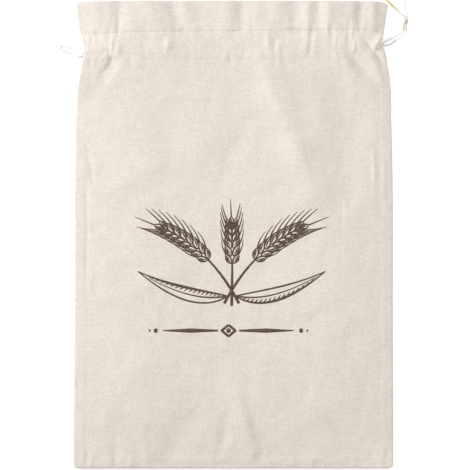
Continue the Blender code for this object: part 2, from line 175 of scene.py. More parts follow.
# The drawstring from the knot, in at the right end of the front channel, round the loop at the
# left and back through the back channel. Columns: x, y, z.
DRAWSTRING = (
    (0.1609, 0.1930, 0.0026),
    (0.1596, 0.1923, 0.0019),
    (0.1576, 0.1910, 0.0012),
    (0.1545, 0.1889, 0.0012),
    (0.1503, 0.1861, 0.0024),
    (0.1460, 0.1838, 0.0051),
    (0.1425, 0.1817, 0.0072),
    (0.1390, 0.1806, 0.0080),
    (0.1300, 0.1805, 0.0090),
    (0.1100, 0.1807, 0.0110),
    (0.0900, 0.1806, 0.0120),
    (0.0700, 0.1805, 0.0123),
    (0.0300, 0.1799, 0.0124),
    (-0.0100, 0.1791, 0.0124),
    (-0.0500, 0.1781, 0.0124),
    (-0.0750, 0.1774, 0.0123),
    (-0.0900, 0.1769, 0.0120),
    (-0.1100, 0.1757, 0.0110),
    (-0.1300, 0.1730, 0.0090),
    (-0.1385, 0.1708, 0.0080),
    (-0.1432, 0.1718, 0.0072),
    (-0.1477, 0.1740, 0.0038),
    (-0.1517, 0.1758, 0.0013),
    (-0.1554, 0.1775, 0.0012),
    (-0.1579, 0.1787, 0.0012),
    (-0.1601, 0.1795, 0.0012),
    (-0.1621, 0.1795, 0.0012),
    (-0.1635, 0.1785, 0.0012),
    (-0.1640, 0.1767, 0.0012),
    (-0.1632, 0.1750, 0.0012),
    (-0.1616, 0.1741, 0.0012),
    (-0.1594, 0.1736, 0.0012),
    (-0.1565, 0.1727, 0.0012),
    (-0.1530, 0.1714, 0.0012),
    (-0.1488, 0.1701, 0.0012),
    (-0.1445, 0.1692, 0.0020),
    (-0.1400, 0.1702, 0.0025),
    (-0.1300, 0.1731, 0.0025),
    (-0.1100, 0.1757, 0.0025),
    (-0.0750, 0.1774, 0.0025),
    (-0.0100, 0.1791, 0.0025),
    (0.0700, 0.1805, 0.0025),
    (0.1100, 0.1807, 0.0025),
    (0.1300, 0.1805, 0.0025),
    (0.1395, 0.1800, 0.0025),
    (0.1437, 0.1793, 0.0020),
    (0.1476, 0.1801, 0.0012),
    (0.1518, 0.1825, 0.0012),
    (0.1556, 0.1853, 0.0012),
    (0.1591, 0.1881, 0.0012),
    (0.1619, 0.1905, 0.0018),
    (0.1637, 0.1926, 0.0026),
)
DRAWSTRING_LENGTH = 0.672

# The free ends past the knot, which lie on the surface. Columns: x, y, z.
TAIL_NEAR = (
    (0.1611, 0.2074, 0.0026),
    (0.1597, 0.2083, 0.0017),
    (0.1580, 0.2099, 0.0012),
    (0.1562, 0.2121, 0.0012),
    (0.1539, 0.2145, 0.0012),
    (0.1511, 0.2168, 0.0012),
    (0.1484, 0.2192, 0.0012),
    (0.1459, 0.2217, 0.0012),
    (0.1436, 0.2243, 0.0012),
    (0.1417, 0.2268, 0.0012),
    (0.1400, 0.2300, 0.0012),
)
TAIL_NEAR_LENGTH = 0.0315
TAIL_FAR = (
    (0.1640, 0.2070, 0.0026),
    (0.1638, 0.2090, 0.0016),
    (0.1631, 0.2115, 0.0012),
    (0.1626, 0.2152, 0.0012),
    (0.1625, 0.2195, 0.0012),
    (0.1632, 0.2240, 0.0012),
    (0.1637, 0.2290, 0.0012),
    (0.1635, 0.2340, 0.0012),
    (0.1629, 0.2376, 0.0012),
)
TAIL_FAR_LENGTH = 0.0312
KNOT_HEADING = math.radians(93)
OFF_THE_FLOOR = 0.00005    # no part of a cord lies lower


def column(table: tuple, index: int) -> Array:
    """One column of a table as an array."""
    return np.array([row[index] for row in table])


def smooth(table: tuple, at: Array, index: int = 1, overshoot: bool = False) -> Array:
    """Reads a column of a table at any value of its first column, on a smooth curve.

    Args:
        table: Rows in the order of their first column.
        at: Where to read it.
        index: The column to read.
        overshoot: Lets the curve pass its rows' highest and lowest, as a cord does where it turns.

    Returns:
        The values there.
    """
    known = column(table, 0)
    values = column(table, index)
    step = np.diff(known)
    slope = np.diff(values) / step
    inner = (slope[:-1] * step[1:] + slope[1:] * step[:-1]) / (step[:-1] + step[1:])
    if not overshoot:
        inner[slope[:-1] * slope[1:] <= 0] = 0.0
    tangent = np.concatenate([slope[:1], inner, slope[-1:]])
    at = np.clip(at, known[0], known[-1])
    low = np.clip(np.searchsorted(known, at) - 1, 0, len(step) - 1)
    t = (at - known[low]) / step[low]
    rise = tangent[low] * step[low] * t * (1 - t) ** 2
    fall = tangent[low + 1] * step[low] * t**2 * (1 - t)
    blend = t * t * (3 - 2 * t)
    return values[low] + (values[low + 1] - values[low]) * blend + rise - fall


def ease(value: Array, low: Array | float, high: Array | float) -> Array:
    """Nil below low and whole above high, with soft ends."""
    t = np.clip((value - low) / (high - low), 0, 1)
    return t * t * (3 - 2 * t)


def bell(distance: Array, width: float) -> Array:
    """One at nil distance, falling away softly over a half width."""
    return np.exp(-((distance / width) ** 2))


def run_along(points: Array) -> Array:
    """How far along a line each of its points is."""
    return np.concatenate([[0], np.cumsum(np.linalg.norm(np.diff(points, axis=0), axis=1))])


def spaced(points: Array, count: int) -> Array:
    """Evenly spaced points along a line of straight pieces.

    Args:
        points: The line's corners, a row for each.
        count: How many points to give.

    Returns:
        The points, a row for each.
    """
    run = run_along(points)
    even = np.linspace(0, run[-1], count)
    return np.stack([np.interp(even, run, points[:, n]) for n in range(points.shape[1])], -1)


def bowed(start: Place, pull: Place, end: Place, count: int) -> Array:
    """Points along a bowed line.

    Args:
        start: Where it starts.
        pull: The point that it is drawn towards.
        end: Where it ends.
        count: How many points to give.

    Returns:
        The points, a row for each.
    """
    start, pull, end = np.array(start), np.array(pull), np.array(end)
    t = np.linspace(0, 1, count)[:, None]
    return (1 - t) ** 2 * start + 2 * t * (1 - t) * pull + t**2 * end


def towards(angle: float) -> Array:
    """A step of one unit at an angle, in the cloth's plane."""
    return np.array((math.cos(angle), math.sin(angle)))


def along_route(route: tuple, count: int) -> Array:
    """Evenly spaced points on a smooth curve through a route's own points.

    Args:
        route: The points that it goes through.
        count: How many points to give.

    Returns:
        The points, a row for each.
    """
    route = np.array(route)
    table = tuple((s, *p) for s, p in zip(run_along(route), route))
    fine = np.linspace(0, table[-1][0], 6 * count)
    curve = np.stack([smooth(table, fine, axis, overshoot=True) for axis in (1, 2, 3)], -1)
    return spaced(curve, count)


SHORTEST_WAVE, LONGEST_WAVE = 0.65, 1.5    # as shares of the middle one


def wander(x: Array, y: Array, wavelength: float, seed: int, waves: int = 22) -> Array:
    """An uneven surface made of sine waves in random directions.

    Args:
        x: Places across.
        y: Places along.
        wavelength: The middle of the waves' lengths.
        seed: Picks the directions and phases.
        waves: How many are summed.

    Returns:
        Heights around nil, mostly between -1 and 1.
    """
    draw = np.random.default_rng(seed)
    total = np.zeros(np.broadcast(x, y).shape)
    low, high = (0, SHORTEST_WAVE, 0), (math.tau, LONGEST_WAVE, math.tau)
    for heading, length, phase in draw.uniform(low, high, (waves, 3)):
        wave = math.tau / (wavelength * length)
        total += np.sin(wave * (x * math.cos(heading) + y * math.sin(heading)) + phase)
    return total / math.sqrt(waves)


@dataclass(frozen=True)
class Fold:
    """A ridge, or a trough where its height is below nil, along a bowed line over the cloth."""

    start: Place   # x and depth
    middle: Place
    end: Place
    left: float    # half width on the side of lower x
    right: float
    height: float

    def line(self, steps: int = 12) -> Array:
        """Points along the fold's line, as one arc through its middle."""
        start, middle, end = (np.array(p) for p in (self.start, self.middle, self.end))
        return bowed(start, 2 * middle - (start + end) / 2, end, steps)

    def lift(self, x: Array, depth: Array) -> Array:
        """How far the fold lifts the cloth.

        Args:
            x: Places across.
            depth: Places down the bag.

        Returns:
            The lift at each.
        """
        line = self.line()
        nearest = np.full(x.shape, np.inf)
        across = np.zeros(x.shape)
        along = np.zeros(x.shape)
        for number, (a, b) in enumerate(zip(line[:-1], line[1:])):
            span = b - a
            t = np.clip(((x - a[0]) * span[0] + (depth - a[1]) * span[1]) / (span @ span), 0, 1)
            dx = x - a[0] - t * span[0]
            distance = np.hypot(dx, depth - a[1] - t * span[1])
            closer = distance < nearest
            nearest = np.where(closer, distance, nearest)
            across = np.where(closer, dx, across)
            along = np.where(closer, (number + t) / (len(line) - 1), along)
        width = np.where(across < 0, self.left, self.right)
        inner = np.clip(along, FOLD_TIP, 1 - FOLD_TIP)
        strength = FOLD_END + (1 - FOLD_END) * np.sin(math.pi * inner)
        return self.height * strength * bell(nearest, width)


# Main folds, as the front panel's solid has them
BODY_FOLDS = (
    Fold((0.029, 0.052), (0.048, 0.108), (0.075, 0.190), 0.015, 0.016, 0.0034),
    Fold((0.088, 0.056), (0.114, 0.112), (0.104, 0.178), 0.028, 0.016, -0.0026),
    Fold((0.089, 0.044), (0.101, 0.055), (0.115, 0.067), 0.006, 0.005, 0.0020),
    Fold((0.107, 0.047), (0.118, 0.058), (0.131, 0.072), 0.005, 0.005, -0.0022),
    Fold((0.123, 0.047), (0.132, 0.058), (0.139, 0.072), 0.004, 0.004, 0.0014),
    Fold((-0.112, 0.050), (-0.113, 0.062), (-0.121, 0.073), 0.005, 0.004, -0.0020),
    Fold((0.021, 0.111), (0.004, 0.136), (-0.011, 0.173), 0.009, 0.008, -0.0011),
    Fold((0.004, 0.374), (0.012, 0.398), (0.021, 0.424), 0.009, 0.005, 0.0023),
    Fold((-0.022, 0.378), (-0.048, 0.408), (-0.066, 0.434), 0.013, 0.011, -0.0018),
    Fold((-0.008, 0.398), (-0.009, 0.412), (-0.013, 0.426), 0.006, 0.005, -0.0014),
    Fold((-0.138, 0.424), (-0.138, 0.432), (-0.139, 0.440), 0.004, 0.004, -0.0006),
    Fold((-0.112, 0.418), (-0.112, 0.429), (-0.113, 0.440), 0.006, 0.005, -0.0010),
)

# Small creases that only show close by
FINE_FOLDS = (
    Fold((-0.1165, 0.0480), (-0.1155, 0.0585), (-0.1245, 0.0695), 0.0028, 0.0018, -0.0014),
    Fold((-0.1138, 0.0350), (-0.1140, 0.0430), (-0.1150, 0.0520), 0.0011, 0.0010, 0.0013),
    Fold((-0.1082, 0.0130), (-0.1078, 0.0240), (-0.1090, 0.0380), 0.0018, 0.0016, -0.0009),
    Fold((-0.1200, 0.047), (-0.1235, 0.051), (-0.1270, 0.056), 0.0014, 0.0012, -0.0006),
    Fold((-0.1416, 0.427), (-0.1414, 0.434), (-0.1414, 0.443), 0.0022, 0.0015, 0.0008),
    Fold((-0.1346, 0.429), (-0.1348, 0.435), (-0.1350, 0.443), 0.0018, 0.0030, 0.0007),
    Fold((-0.1152, 0.428), (-0.1151, 0.434), (-0.1150, 0.443), 0.0040, 0.0020, 0.0006),
    Fold((-0.0962, 0.428), (-0.0962, 0.434), (-0.0962, 0.443), 0.0040, 0.0022, 0.0007),
    Fold((-0.0820, 0.418), (-0.0820, 0.428), (-0.0830, 0.438), 0.0040, 0.0034, 0.0005),
    Fold((-0.0300, 0.385), (-0.0500, 0.410), (-0.0640, 0.430), 0.0120, 0.0100, 0.0005),
    Fold((0.0170, 0.409), (0.0205, 0.419), (0.0245, 0.431), 0.0060, 0.0040, -0.0008),
    Fold((0.0564, 0.430), (0.0564, 0.436), (0.0564, 0.443), 0.0040, 0.0020, 0.0005),
    Fold((0.0744, 0.430), (0.0744, 0.436), (0.0744, 0.443), 0.0040, 0.0026, 0.0004),
    Fold((0.1143, 0.428), (0.1143, 0.434), (0.1143, 0.443), 0.0028, 0.0028, 0.0004),
    Fold((0.1412, 0.424), (0.1410, 0.432), (0.1408, 0.443), 0.0050, 0.0026, 0.0007),
    Fold((-0.0465, 0.434), (-0.0465, 0.437), (-0.0465, 0.440), 0.0010, 0.0010, -0.0004),
    Fold((0.0210, 0.409), (0.0265, 0.420), (0.0290, 0.431), 0.0030, 0.0022, -0.0005),
    Fold((0.0260, 0.058), (0.0330, 0.078), (0.0400, 0.100), 0.0080, 0.0050, 0.0007),
    Fold((0.0600, 0.134), (0.0680, 0.156), (0.0760, 0.180), 0.0080, 0.0050, 0.0007),
    Fold((0.1325, 0.138), (0.1330, 0.158), (0.1328, 0.180), 0.0022, 0.0026, 0.0007),
    Fold((0.1428, 0.142), (0.1430, 0.163), (0.1428, 0.186), 0.0020, 0.0016, 0.0005),
    Fold((0.0960, 0.046), (0.0985, 0.085), (0.1060, 0.130), 0.0240, 0.0100, -0.0011),
    Fold((0.0740, 0.138), (0.0780, 0.158), (0.0860, 0.184), 0.0100, 0.0140, 0.0008),
    Fold((0.0980, 0.138), (0.1040, 0.158), (0.1100, 0.184), 0.0140, 0.0100, -0.0006),
    Fold((-0.1364, 0.145), (-0.1338, 0.157), (-0.1324, 0.169), 0.0030, 0.0016, -0.0009),
    Fold((-0.1392, 0.170), (-0.1382, 0.215), (-0.1384, 0.272), 0.0026, 0.0014, -0.0006),
)

# Wrinkles of the channel's outer layer. Columns: x and depth at the top, x and depth at the
# bottom, half width, height.
WRINKLES = (
    (-0.1285, 0.0300, -0.1245, 0.0395, 0.0014, -0.0006),
    (-0.0838, 0.0400, -0.0835, 0.0540, 0.0015, -0.0007),
    (-0.0618, 0.0360, -0.0614, 0.0510, 0.0017, 0.0009),
    (-0.0550, 0.0230, -0.0545, 0.0370, 0.0024, -0.0008),
    (-0.0370, 0.0260, -0.0374, 0.0400, 0.0022, 0.0005),
    (0.0008, 0.0150, 0.0020, 0.0400, 0.0016, -0.0008),
    (0.0108, 0.0390, 0.0114, 0.0510, 0.0015, -0.0007),
    (0.0318, 0.0290, 0.0322, 0.0400, 0.0017, 0.0006),
    (0.0383, 0.0390, 0.0387, 0.0470, 0.0013, -0.0007),
    (0.0432, 0.0390, 0.0430, 0.0500, 0.0015, 0.0007),
    (0.0520, 0.0150, 0.0512, 0.0290, 0.0020, 0.0006),
    (0.0742, 0.0290, 0.0712, 0.0540, 0.0021, -0.0007),
    (0.0788, 0.0270, 0.0758, 0.0500, 0.0022, 0.0006),
    (0.0925, 0.0240, 0.0920, 0.0340, 0.0014, -0.0008),
    (0.0962, 0.0340, 0.0957, 0.0430, 0.0015, 0.0009),
    (0.1092, 0.0190, 0.1082, 0.0400, 0.0017, -0.0010),
    (0.1118, 0.0280, 0.1113, 0.0340, 0.0011, 0.0008),
    (0.1142, 0.0390, 0.1130, 0.0500, 0.0014, 0.0011),
)

# Creases where the cord draws the ends of the channel in, on the outer layer alone
NOTCH_CREASES = (
    Fold((0.1412, 0.0345), (0.1368, 0.0385), (0.1342, 0.0440), 0.0036, 0.0015, 0.0044),
    Fold((0.1262, 0.0350), (0.1310, 0.0385), (0.1345, 0.0455), 0.0020, 0.0014, 0.0010),
    Fold((0.1256, 0.0390), (0.1320, 0.0468), (0.1394, 0.0566), 0.0018, 0.0022, -0.0018),
    Fold((0.1388, 0.0450), (0.1410, 0.0505), (0.1426, 0.0560), 0.0010, 0.0012, 0.0007),
    Fold((-0.1400, 0.0440), (-0.1350, 0.0450), (-0.1310, 0.0470), 0.0015, 0.0015, 0.0005),
    Fold((-0.1335, 0.0300), (-0.1330, 0.0360), (-0.1345, 0.0420), 0.0016, 0.0014, -0.0006),
)

# Ruffles of the heading. Columns: x at the mouth, x at the upper sewing line, half width, height.
RUFFLES = (
    (-0.1298, -0.1288, 0.006, 0.0008),
    (-0.1062, -0.1070, 0.006, -0.0019),
    (-0.0790, -0.0740, 0.009, 0.0012),
    (-0.0600, -0.0490, 0.006, -0.0022),
    (-0.0330, -0.0320, 0.008, -0.0012),
    (-0.0060, -0.0060, 0.008, 0.0014),
    (0.0080, 0.0080, 0.005, -0.0018),
    (0.0230, 0.0220, 0.006, 0.0008),
    (0.0410, 0.0410, 0.006, 0.0010),
    (0.0600, 0.0595, 0.007, -0.0019),
    (0.0705, 0.0700, 0.004, 0.0009),
    (0.0802, 0.0802, 0.005, -0.0013),
    (0.0900, 0.0892, 0.006, 0.0010),
    (0.1120, 0.1112, 0.005, 0.0008),
    (0.1208, 0.1186, 0.005, -0.0019),
    (0.1325, 0.1325, 0.004, 0.0014),
)
RUFFLE_DEPTHS = (-0.004, 0.011, 0.027)

# Puckers of the channel, where only the outer layer lifts off the cord.
# Columns: x, half width, height.
PUCKERS = (
    (-0.1080, 0.004, 0.0010),
    (-0.0605, 0.004, 0.0009),
    (-0.0300, 0.006, 0.0004),
    (0.0000, 0.005, 0.0003),
    (0.0335, 0.003, 0.0009),
    (0.0690, 0.004, 0.0008),
    (0.1020, 0.005, 0.0009),
    (0.1190, 0.004, 0.0007),
)

# Soft swellings of the front. Columns: x, depth, half width, height.
SWELLINGS = (
    (-0.110, 0.158, 0.016, 0.0008),
    (-0.082, 0.156, 0.015, 0.0008),
    (-0.034, 0.142, 0.016, 0.0011),
    (0.033, 0.090, 0.016, 0.0007),
    (0.059, 0.140, 0.014, 0.0006),
    (-0.060, 0.250, 0.030, 0.0005),
    (0.090, 0.300, 0.034, -0.0005),
    (-0.090, 0.345, 0.026, 0.0005),
    (0.110, 0.415, 0.022, -0.0005),
)

# Unevenness all over the front, and of the back over the floor. Columns: height, wavelength, seed.
UNEVEN_FRONT = ((0.00022, 0.036, 11), (0.00011, 0.012, 12))
UNEVEN_BACK = (0.00030, 0.050, 31)
BACK_LIFT = 0.00035                # how far the back is off the floor on average
BACK_FLAT = (0.004, 0.030)         # it lies flat at its edge and fades in to this inset

# The seam allowance that shows beside the edges
SEAM_WAVER = (0.0006, 0.05, 41)    # height, wavelength and seed of its edge's wavering
SEAM_STEP = 0.0008                 # half the width of the step down from it
SEAM_START = (0.0003, 0.002)       # it fades in between these insets

# Puckers along the sewn lines, each between a lowest and a highest value
GATHER_STEP = (0.0035, 0.0085)     # from one to the next
GATHER_WIDTH = (0.0011, 0.0024)
GATHER_REACH = (0.004, 0.010)      # up and down from the line
GATHER_LIFT = (-1.3, 1.0)          # as a share of the panel's own height for them
GATHER_LEAN = (-0.25, 0.25)
GATHER_SEEDS = (21, 22)            # for the upper and the lower line


class Side(Enum):
    """Which of the two panels."""

    FRONT = "front_panel"
    BACK = "back_panel"


class FarEnd(Enum):
    """What a cord ends in."""

    KNOT = "knot"
    BARE = "bare"


class Signal:
    """A socket's value in a shader. An expression on it adds Math nodes."""

    def __init__(self, shader: "Shader", socket: bpy.types.NodeSocket) -> None:
        """Keeps the socket and the shader that it is in."""
        self.shader = shader
        self.socket = socket

    def maths(self, operation: str, *values: "Signal | float") -> "Signal":
        """Adds one Math node on this value.

        Args:
            operation: What it does.
            values: Its other operands.

        Returns:
            Its result.
        """
        inputs = dict(enumerate((self, *values)))
        return self.shader.node("ShaderNodeMath", {"operation": operation}, inputs)

    def __add__(self, other: "Signal | float") -> "Signal":
        """The sum."""
        return self.maths("ADD", other)

    __radd__ = __add__

    def __mul__(self, other: "Signal | float") -> "Signal":
        """The product."""
        return self.maths("MULTIPLY", other)

    __rmul__ = __mul__

    def __sub__(self, other: "Signal | float") -> "Signal":
        """The difference."""
        return self.maths("SUBTRACT", other)

    def __rsub__(self, other: float) -> "Signal":
        """A number less this value."""
        return self.maths("MULTIPLY", -1.0) + other

    def __truediv__(self, other: "Signal | float") -> "Signal":
        """The quotient."""
        return self.maths("DIVIDE", other)

    def __pow__(self, power: float) -> "Signal":
        """The power."""
        return self.maths("POWER", power)

    def between(self, low: float, high: float) -> "Signal":
        """Where the value stands between two others.

        Args:
            low: Gives nil at and below this.
            high: Gives one at and above this.

        Returns:
            Nil to one, with soft ends.
        """
        settings = {"interpolation_type": "SMOOTHSTEP"}
        inputs = {"Value": self, "From Min": low, "From Max": high}
        return self.shader.node("ShaderNodeMapRange", settings, inputs)


class Shader:
    """A new material's nodes."""

    def __init__(self, name: str) -> None:
        """Makes the material with its Principled shader.

        Args:
            name: The material's name.
        """
        self.material = bpy.data.materials.new(name)
        self.material.use_nodes = True
        self.nodes = self.material.node_tree.nodes
        self.links = self.material.node_tree.links
        self.surface = self.nodes["Principled BSDF"]

    def node(self, kind: str, settings: dict | None = None, inputs: dict | None = None,
             output: int | str = 0) -> Signal:
        """Adds any node.

        Args:
            kind: The node's type.
            settings: Its own settings, set first.
            inputs: Values or links for its sockets, by name or number.
            output: The socket to give.

        Returns:
            That socket's value.
        """
        made = self.nodes.new(kind)
        for name, value in (settings or {}).items():
            setattr(made, name, value)
        for name, value in (inputs or {}).items():
            self.feed(made.inputs[name], value)
        return Signal(self, made.outputs[output])

    def feed(self, socket: bpy.types.NodeSocket, value: "Signal | float | tuple") -> None:
        """Gives a socket its value or its link.

        Args:
            socket: The socket.
            value: A signal to link, or a number, colour or vector to set.
        """
        if isinstance(value, Signal):
            self.links.new(value.socket, socket)
        elif socket.type == "RGBA":
            socket.default_value = (*value, 1.0)
        else:
            socket.default_value = value

    def place(self) -> Signal:
        """Where the shaded point is, in metres."""
        return self.node("ShaderNodeTexCoord", output="Object")

    def axes(self, vector: Signal) -> tuple[Signal, Signal, Signal]:
        """A vector's three parts.

        Args:
            vector: The vector.

        Returns:
            Its x, y and z.
        """
        parts = self.nodes.new("ShaderNodeSeparateXYZ")
        self.links.new(vector.socket, parts.inputs[0])
        return tuple(Signal(self, out) for out in parts.outputs)

    def scaled(self, vector: Signal, scale: Point, shift: Point = (0, 0, 0)) -> Signal:
        """A vector multiplied part by part, and then moved."""
        return self.node("ShaderNodeVectorMath", {"operation": "MULTIPLY_ADD"},
                         {0: vector, 1: scale, 2: shift})

    def noise(self, vector: Signal, scale: float, detail: float = 2.0,
              rough: float = 0.5) -> Signal:
        """Smooth noise around one half."""
        inputs = {"Vector": vector, "Scale": scale, "Detail": detail, "Roughness": rough}
        return self.node("ShaderNodeTexNoise", {"noise_dimensions": "3D"}, inputs)

    def mix(self, factor: Signal | float, low: Signal | Colour, high: Signal | Colour) -> Signal:
        """A colour between two.

        Args:
            factor: Nil gives the first colour and one the second.
            low: The first colour.
            high: The second colour.

        Returns:
            The mixed colour.
        """
        made = self.nodes.new("ShaderNodeMix")
        made.data_type = "RGBA"
        for number, value in ((0, factor), (6, low), (7, high)):
            self.feed(made.inputs[number], value)
        return Signal(self, made.outputs[2])

    def bump(self, height: Signal, distance: float, strength: float = 1.0) -> Signal:
        """A Bump node on a height that runs from nil to one."""
        return self.node("ShaderNodeBump", inputs={"Height": height, "Distance": distance,
                                                   "Strength": strength})

    def dress(self, **sockets: Signal | float | Colour) -> bpy.types.Material:
        """Sets the Principled shader's sockets.

        Args:
            sockets: Values by socket name, with _ for a space.

        Returns:
            The material.
        """
        for name, value in sockets.items():
            self.feed(self.surface.inputs[name.replace("_", " ")], value)
        return self.material


@dataclass(frozen=True)
class LinenFinish:
    """Unbleached plain weave with slubs, a soft sheen and a few husks."""

    name: str = "linen"
    light: Colour = (0.815, 0.752, 0.690)
    dark: Colour = (0.630, 0.568, 0.506)
    husk: Colour = (0.36, 0.27, 0.19)
    thread: float = 0.00080       # from one thread to the next
    thread_rise: float = 0.00010
    thread_waver: float = 260.0   # waves a metre in the threads' lines
    speckle: float = 430.0        # specks a metre
    cloud: float = 26.0           # slow changes of tone a metre
    husk_noise: Place = (0.83, 0.89)   # the little of the noise's range that shows as husks
    husk_strength: float = 0.30
    roughness: float = 0.93

    def weave(self, shader: Shader, place: Signal) -> Signal:
        """The height of a plain weave.

        Args:
            shader: Where the nodes go.
            place: The shaded point.

        Returns:
            Height from about nil to one.
        """
        bend = shader.noise(place, self.thread_waver) - 0.5
        x, y, _ = shader.axes(shader.scaled(place, (1 / self.thread, 1.08 / self.thread, 0)))
        warp, weft = x + bend * 0.9, y + bend * 0.8
        warp_cell, weft_cell = warp.maths("FLOOR"), weft.maths("FLOOR")
        over = 1.0 - 2.0 * (warp_cell + weft_cell).maths("FLOORED_MODULO", 2.0)
        across, along = warp - warp_cell - 0.5, weft - weft_cell - 0.5
        warp_round = (1.0 - 4.0 * across * across).maths("SQRT")
        weft_round = (1.0 - 4.0 * along * along).maths("SQRT")
        warp_top = warp_round * 0.45 + over * (along * math.pi).maths("COSINE") * 0.3
        weft_top = weft_round * 0.45 - over * (across * math.pi).maths("COSINE") * 0.3
        return warp_top.maths("MAXIMUM", weft_top) + 0.1

    def slubs(self, shader: Shader, place: Signal) -> Signal:
        """Thick and thin places along single threads, both ways of the cloth.

        Args:
            shader: Where the nodes go.
            place: The shaded point.

        Returns:
            Thickness around one half.
        """
        along_weft = shader.noise(shader.scaled(place, (70, 1000, 40)), 1.0, 1.0)
        along_warp = shader.noise(shader.scaled(place, (1000, 60, 40), (7, 3, 1)), 1.0, 1.0)
        return along_weft * 0.55 + along_warp * 0.45

    def make(self) -> bpy.types.Material:
        """Makes the finish.

        Returns:
            The cloth's material.
        """
        shader = Shader(self.name)
        place = shader.place()
        weave = self.weave(shader, place)
        slubs = self.slubs(shader, place)
        speckle = shader.noise(place, self.speckle, 3.0, 0.68)
        cloud = shader.noise(place, self.cloud, 3.0)
        # Each with its share in the cloth's tone, and the shift that brings the sum to one half
        tone = weave * 0.16 + slubs * 0.85 + speckle * 1.45 + cloud * 0.35 - 0.91
        cloth = shader.mix(tone, self.dark, self.light)
        husks = shader.noise(shader.scaled(place, (520, 300, 300), (4, 9, 2)), 1.0, 0.0)
        shown = husks.between(*self.husk_noise) * self.husk_strength
        cloth = shader.mix(shown, cloth, self.husk)
        relief = weave * 0.75 + slubs * 0.9
        return shader.dress(
            Base_Color=cloth,
            Roughness=self.roughness,
            Sheen_Weight=0.10,
            Sheen_Roughness=0.5,
            Specular_IOR_Level=0.15,
            Normal=shader.bump(relief, self.thread_rise, 0.7),
        )


@dataclass(frozen=True)
class InkFinish:
    """Dark brown water ink, thin on the thread tops."""

    name: str = "print_ink"
    ink: Colour = (0.060, 0.036, 0.027)
    worn: Colour = (0.20, 0.145, 0.115)
    linen: LinenFinish = field(default_factory=LinenFinish)

    def make(self) -> bpy.types.Material:
        """Makes the finish.

        Returns:
            The ink's material.
        """
        shader = Shader(self.name)
        place = shader.place()
        weave = self.linen.weave(shader, place)
        speckle = shader.noise(place, 1100.0, 2.0, 0.6)
        wear = (speckle * 0.8 + weave * 0.35).between(0.52, 0.80)
        return shader.dress(
            Base_Color=shader.mix(wear, self.ink, self.worn),
            Roughness=0.82,
            Specular_IOR_Level=0.2,
            Normal=shader.bump(weave, self.linen.thread_rise, 0.6),
        )


@dataclass(frozen=True)
class CottonFinish:
    """Cotton, spun into strands or thread, with fine fibres along it."""

    name: str
    light: Colour
    dark: Colour
    tip: Colour | None = None     # what it fades to along its run
    tip_run: Place = (0.003, 0.016)
    painted_shade: Colour | None = None    # the colour of a spot of painted shade
    painted_shade_place: Place = (0, 0)
    painted_shade_size: Place = (0.0012, 0.0026)
    fibre: float = 3200.0

    def make(self) -> bpy.types.Material:
        """Makes the finish.

        Returns:
            The cord's or thread's material.
        """
        shader = Shader(self.name)
        lay = shader.node("ShaderNodeAttribute", {"attribute_name": "lay"}, output="Vector")
        fibres = shader.noise(shader.scaled(lay, (3.2, 3.2, self.fibre * 0.12)), 1.0, 3.0, 0.6)
        fuzz = shader.noise(shader.place(), self.fibre, 2.0, 0.6)
        tone = fibres * 0.9 + fuzz * 0.5 - 0.2
        colour = shader.mix(tone, self.dark, self.light)
        if self.tip:
            colour = shader.mix(shader.axes(lay)[2].between(*self.tip_run), colour, self.tip)
        # Darkens an oval spot round a given place with painted shade
        if self.painted_shade:
            x, y, _ = shader.axes(shader.place())
            aside = (x - self.painted_shade_place[0]) * (1 / self.painted_shade_size[0])
            along = (y - self.painted_shade_place[1]) * (1 / self.painted_shade_size[1])
            unshaded = (aside * aside + along * along).between(0.25, 1.3)
            colour = shader.mix(unshaded, self.painted_shade, colour)
        return shader.dress(
            Base_Color=colour,
            Roughness=0.88,
            Sheen_Weight=0.2,
            Specular_IOR_Level=0.2,
            Normal=shader.bump(fibres * 0.6 + fuzz * 0.4, 0.00010, 0.6),
        )


CORD_COTTON = CottonFinish("cotton_cord", (0.90, 0.90, 0.89), (0.77, 0.765, 0.75))
# The near tail's cotton is darker than the cord's, partly as painted shade, and fades along its
# run to a yellow tint
NEAR_TAIL_COTTON = CottonFinish(
    "near_tail_cotton", (0.80, 0.78, 0.70), (0.62, 0.60, 0.52), tip=(0.66, 0.64, 0.30)
)
FAR_TAIL_COTTON = CottonFinish(
    "far_tail_cotton", (0.90, 0.89, 0.85), (0.78, 0.76, 0.70), tip=(0.86, 0.86, 0.74)
)
# Darker and beiger than the cord's cotton, partly as painted shade of its tight turns, with a
# darker spot of painted shade where its turns cross
KNOT_COTTON = CottonFinish(
    "knot_cotton", (0.92, 0.86, 0.80), (0.62, 0.54, 0.48),
    painted_shade=(0.42, 0.35, 0.30), painted_shade_place=(0.1639, 0.2010),
)
UPPER_THREAD = CottonFinish("upper_thread", (0.50, 0.44, 0.38), (0.34, 0.29, 0.25))
LOWER_THREAD = CottonFinish("lower_thread", (0.76, 0.70, 0.63), (0.60, 0.54, 0.47))


@dataclass(frozen=True)
class FloorFinish:
    """A pale, even studio floor."""

    name: str = "studio_floor"
    colour: Colour = (0.93, 0.93, 0.925)
    glow: float = 0.32            # the white sweep is lit from below as well

    def make(self) -> bpy.types.Material:
        """Makes the finish.

        Returns:
            The floor's material.
        """
        shader = Shader(self.name)
        soft = shader.noise(shader.place(), 3.0)
        return shader.dress(
            Base_Color=shader.mix(soft, self.colour, tuple(c * 0.995 for c in self.colour)),
            Roughness=0.9,
            Specular_IOR_Level=0.1,
            Emission_Color=self.colour,
            Emission_Strength=self.glow,
        )


def make_piece(name: str, points: Array, faces: list[list[int]],
               material: bpy.types.Material) -> bpy.types.Object:
    """A smooth mesh piece with one finish.

    Args:
        name: The piece's name.
        points: Its points, a row for each.
        faces: Point numbers, a list for each face.
        material: Its finish.

    Returns:
        The piece.
    """
    mesh = bpy.data.meshes.new(name)
    mesh.from_pydata(points.reshape(-1, 3).tolist(), [], faces)
    mesh.shade_smooth()
    mesh.materials.append(material)
    piece = bpy.data.objects.new(name, mesh)
    bpy.context.scene.collection.objects.link(piece)
    return piece


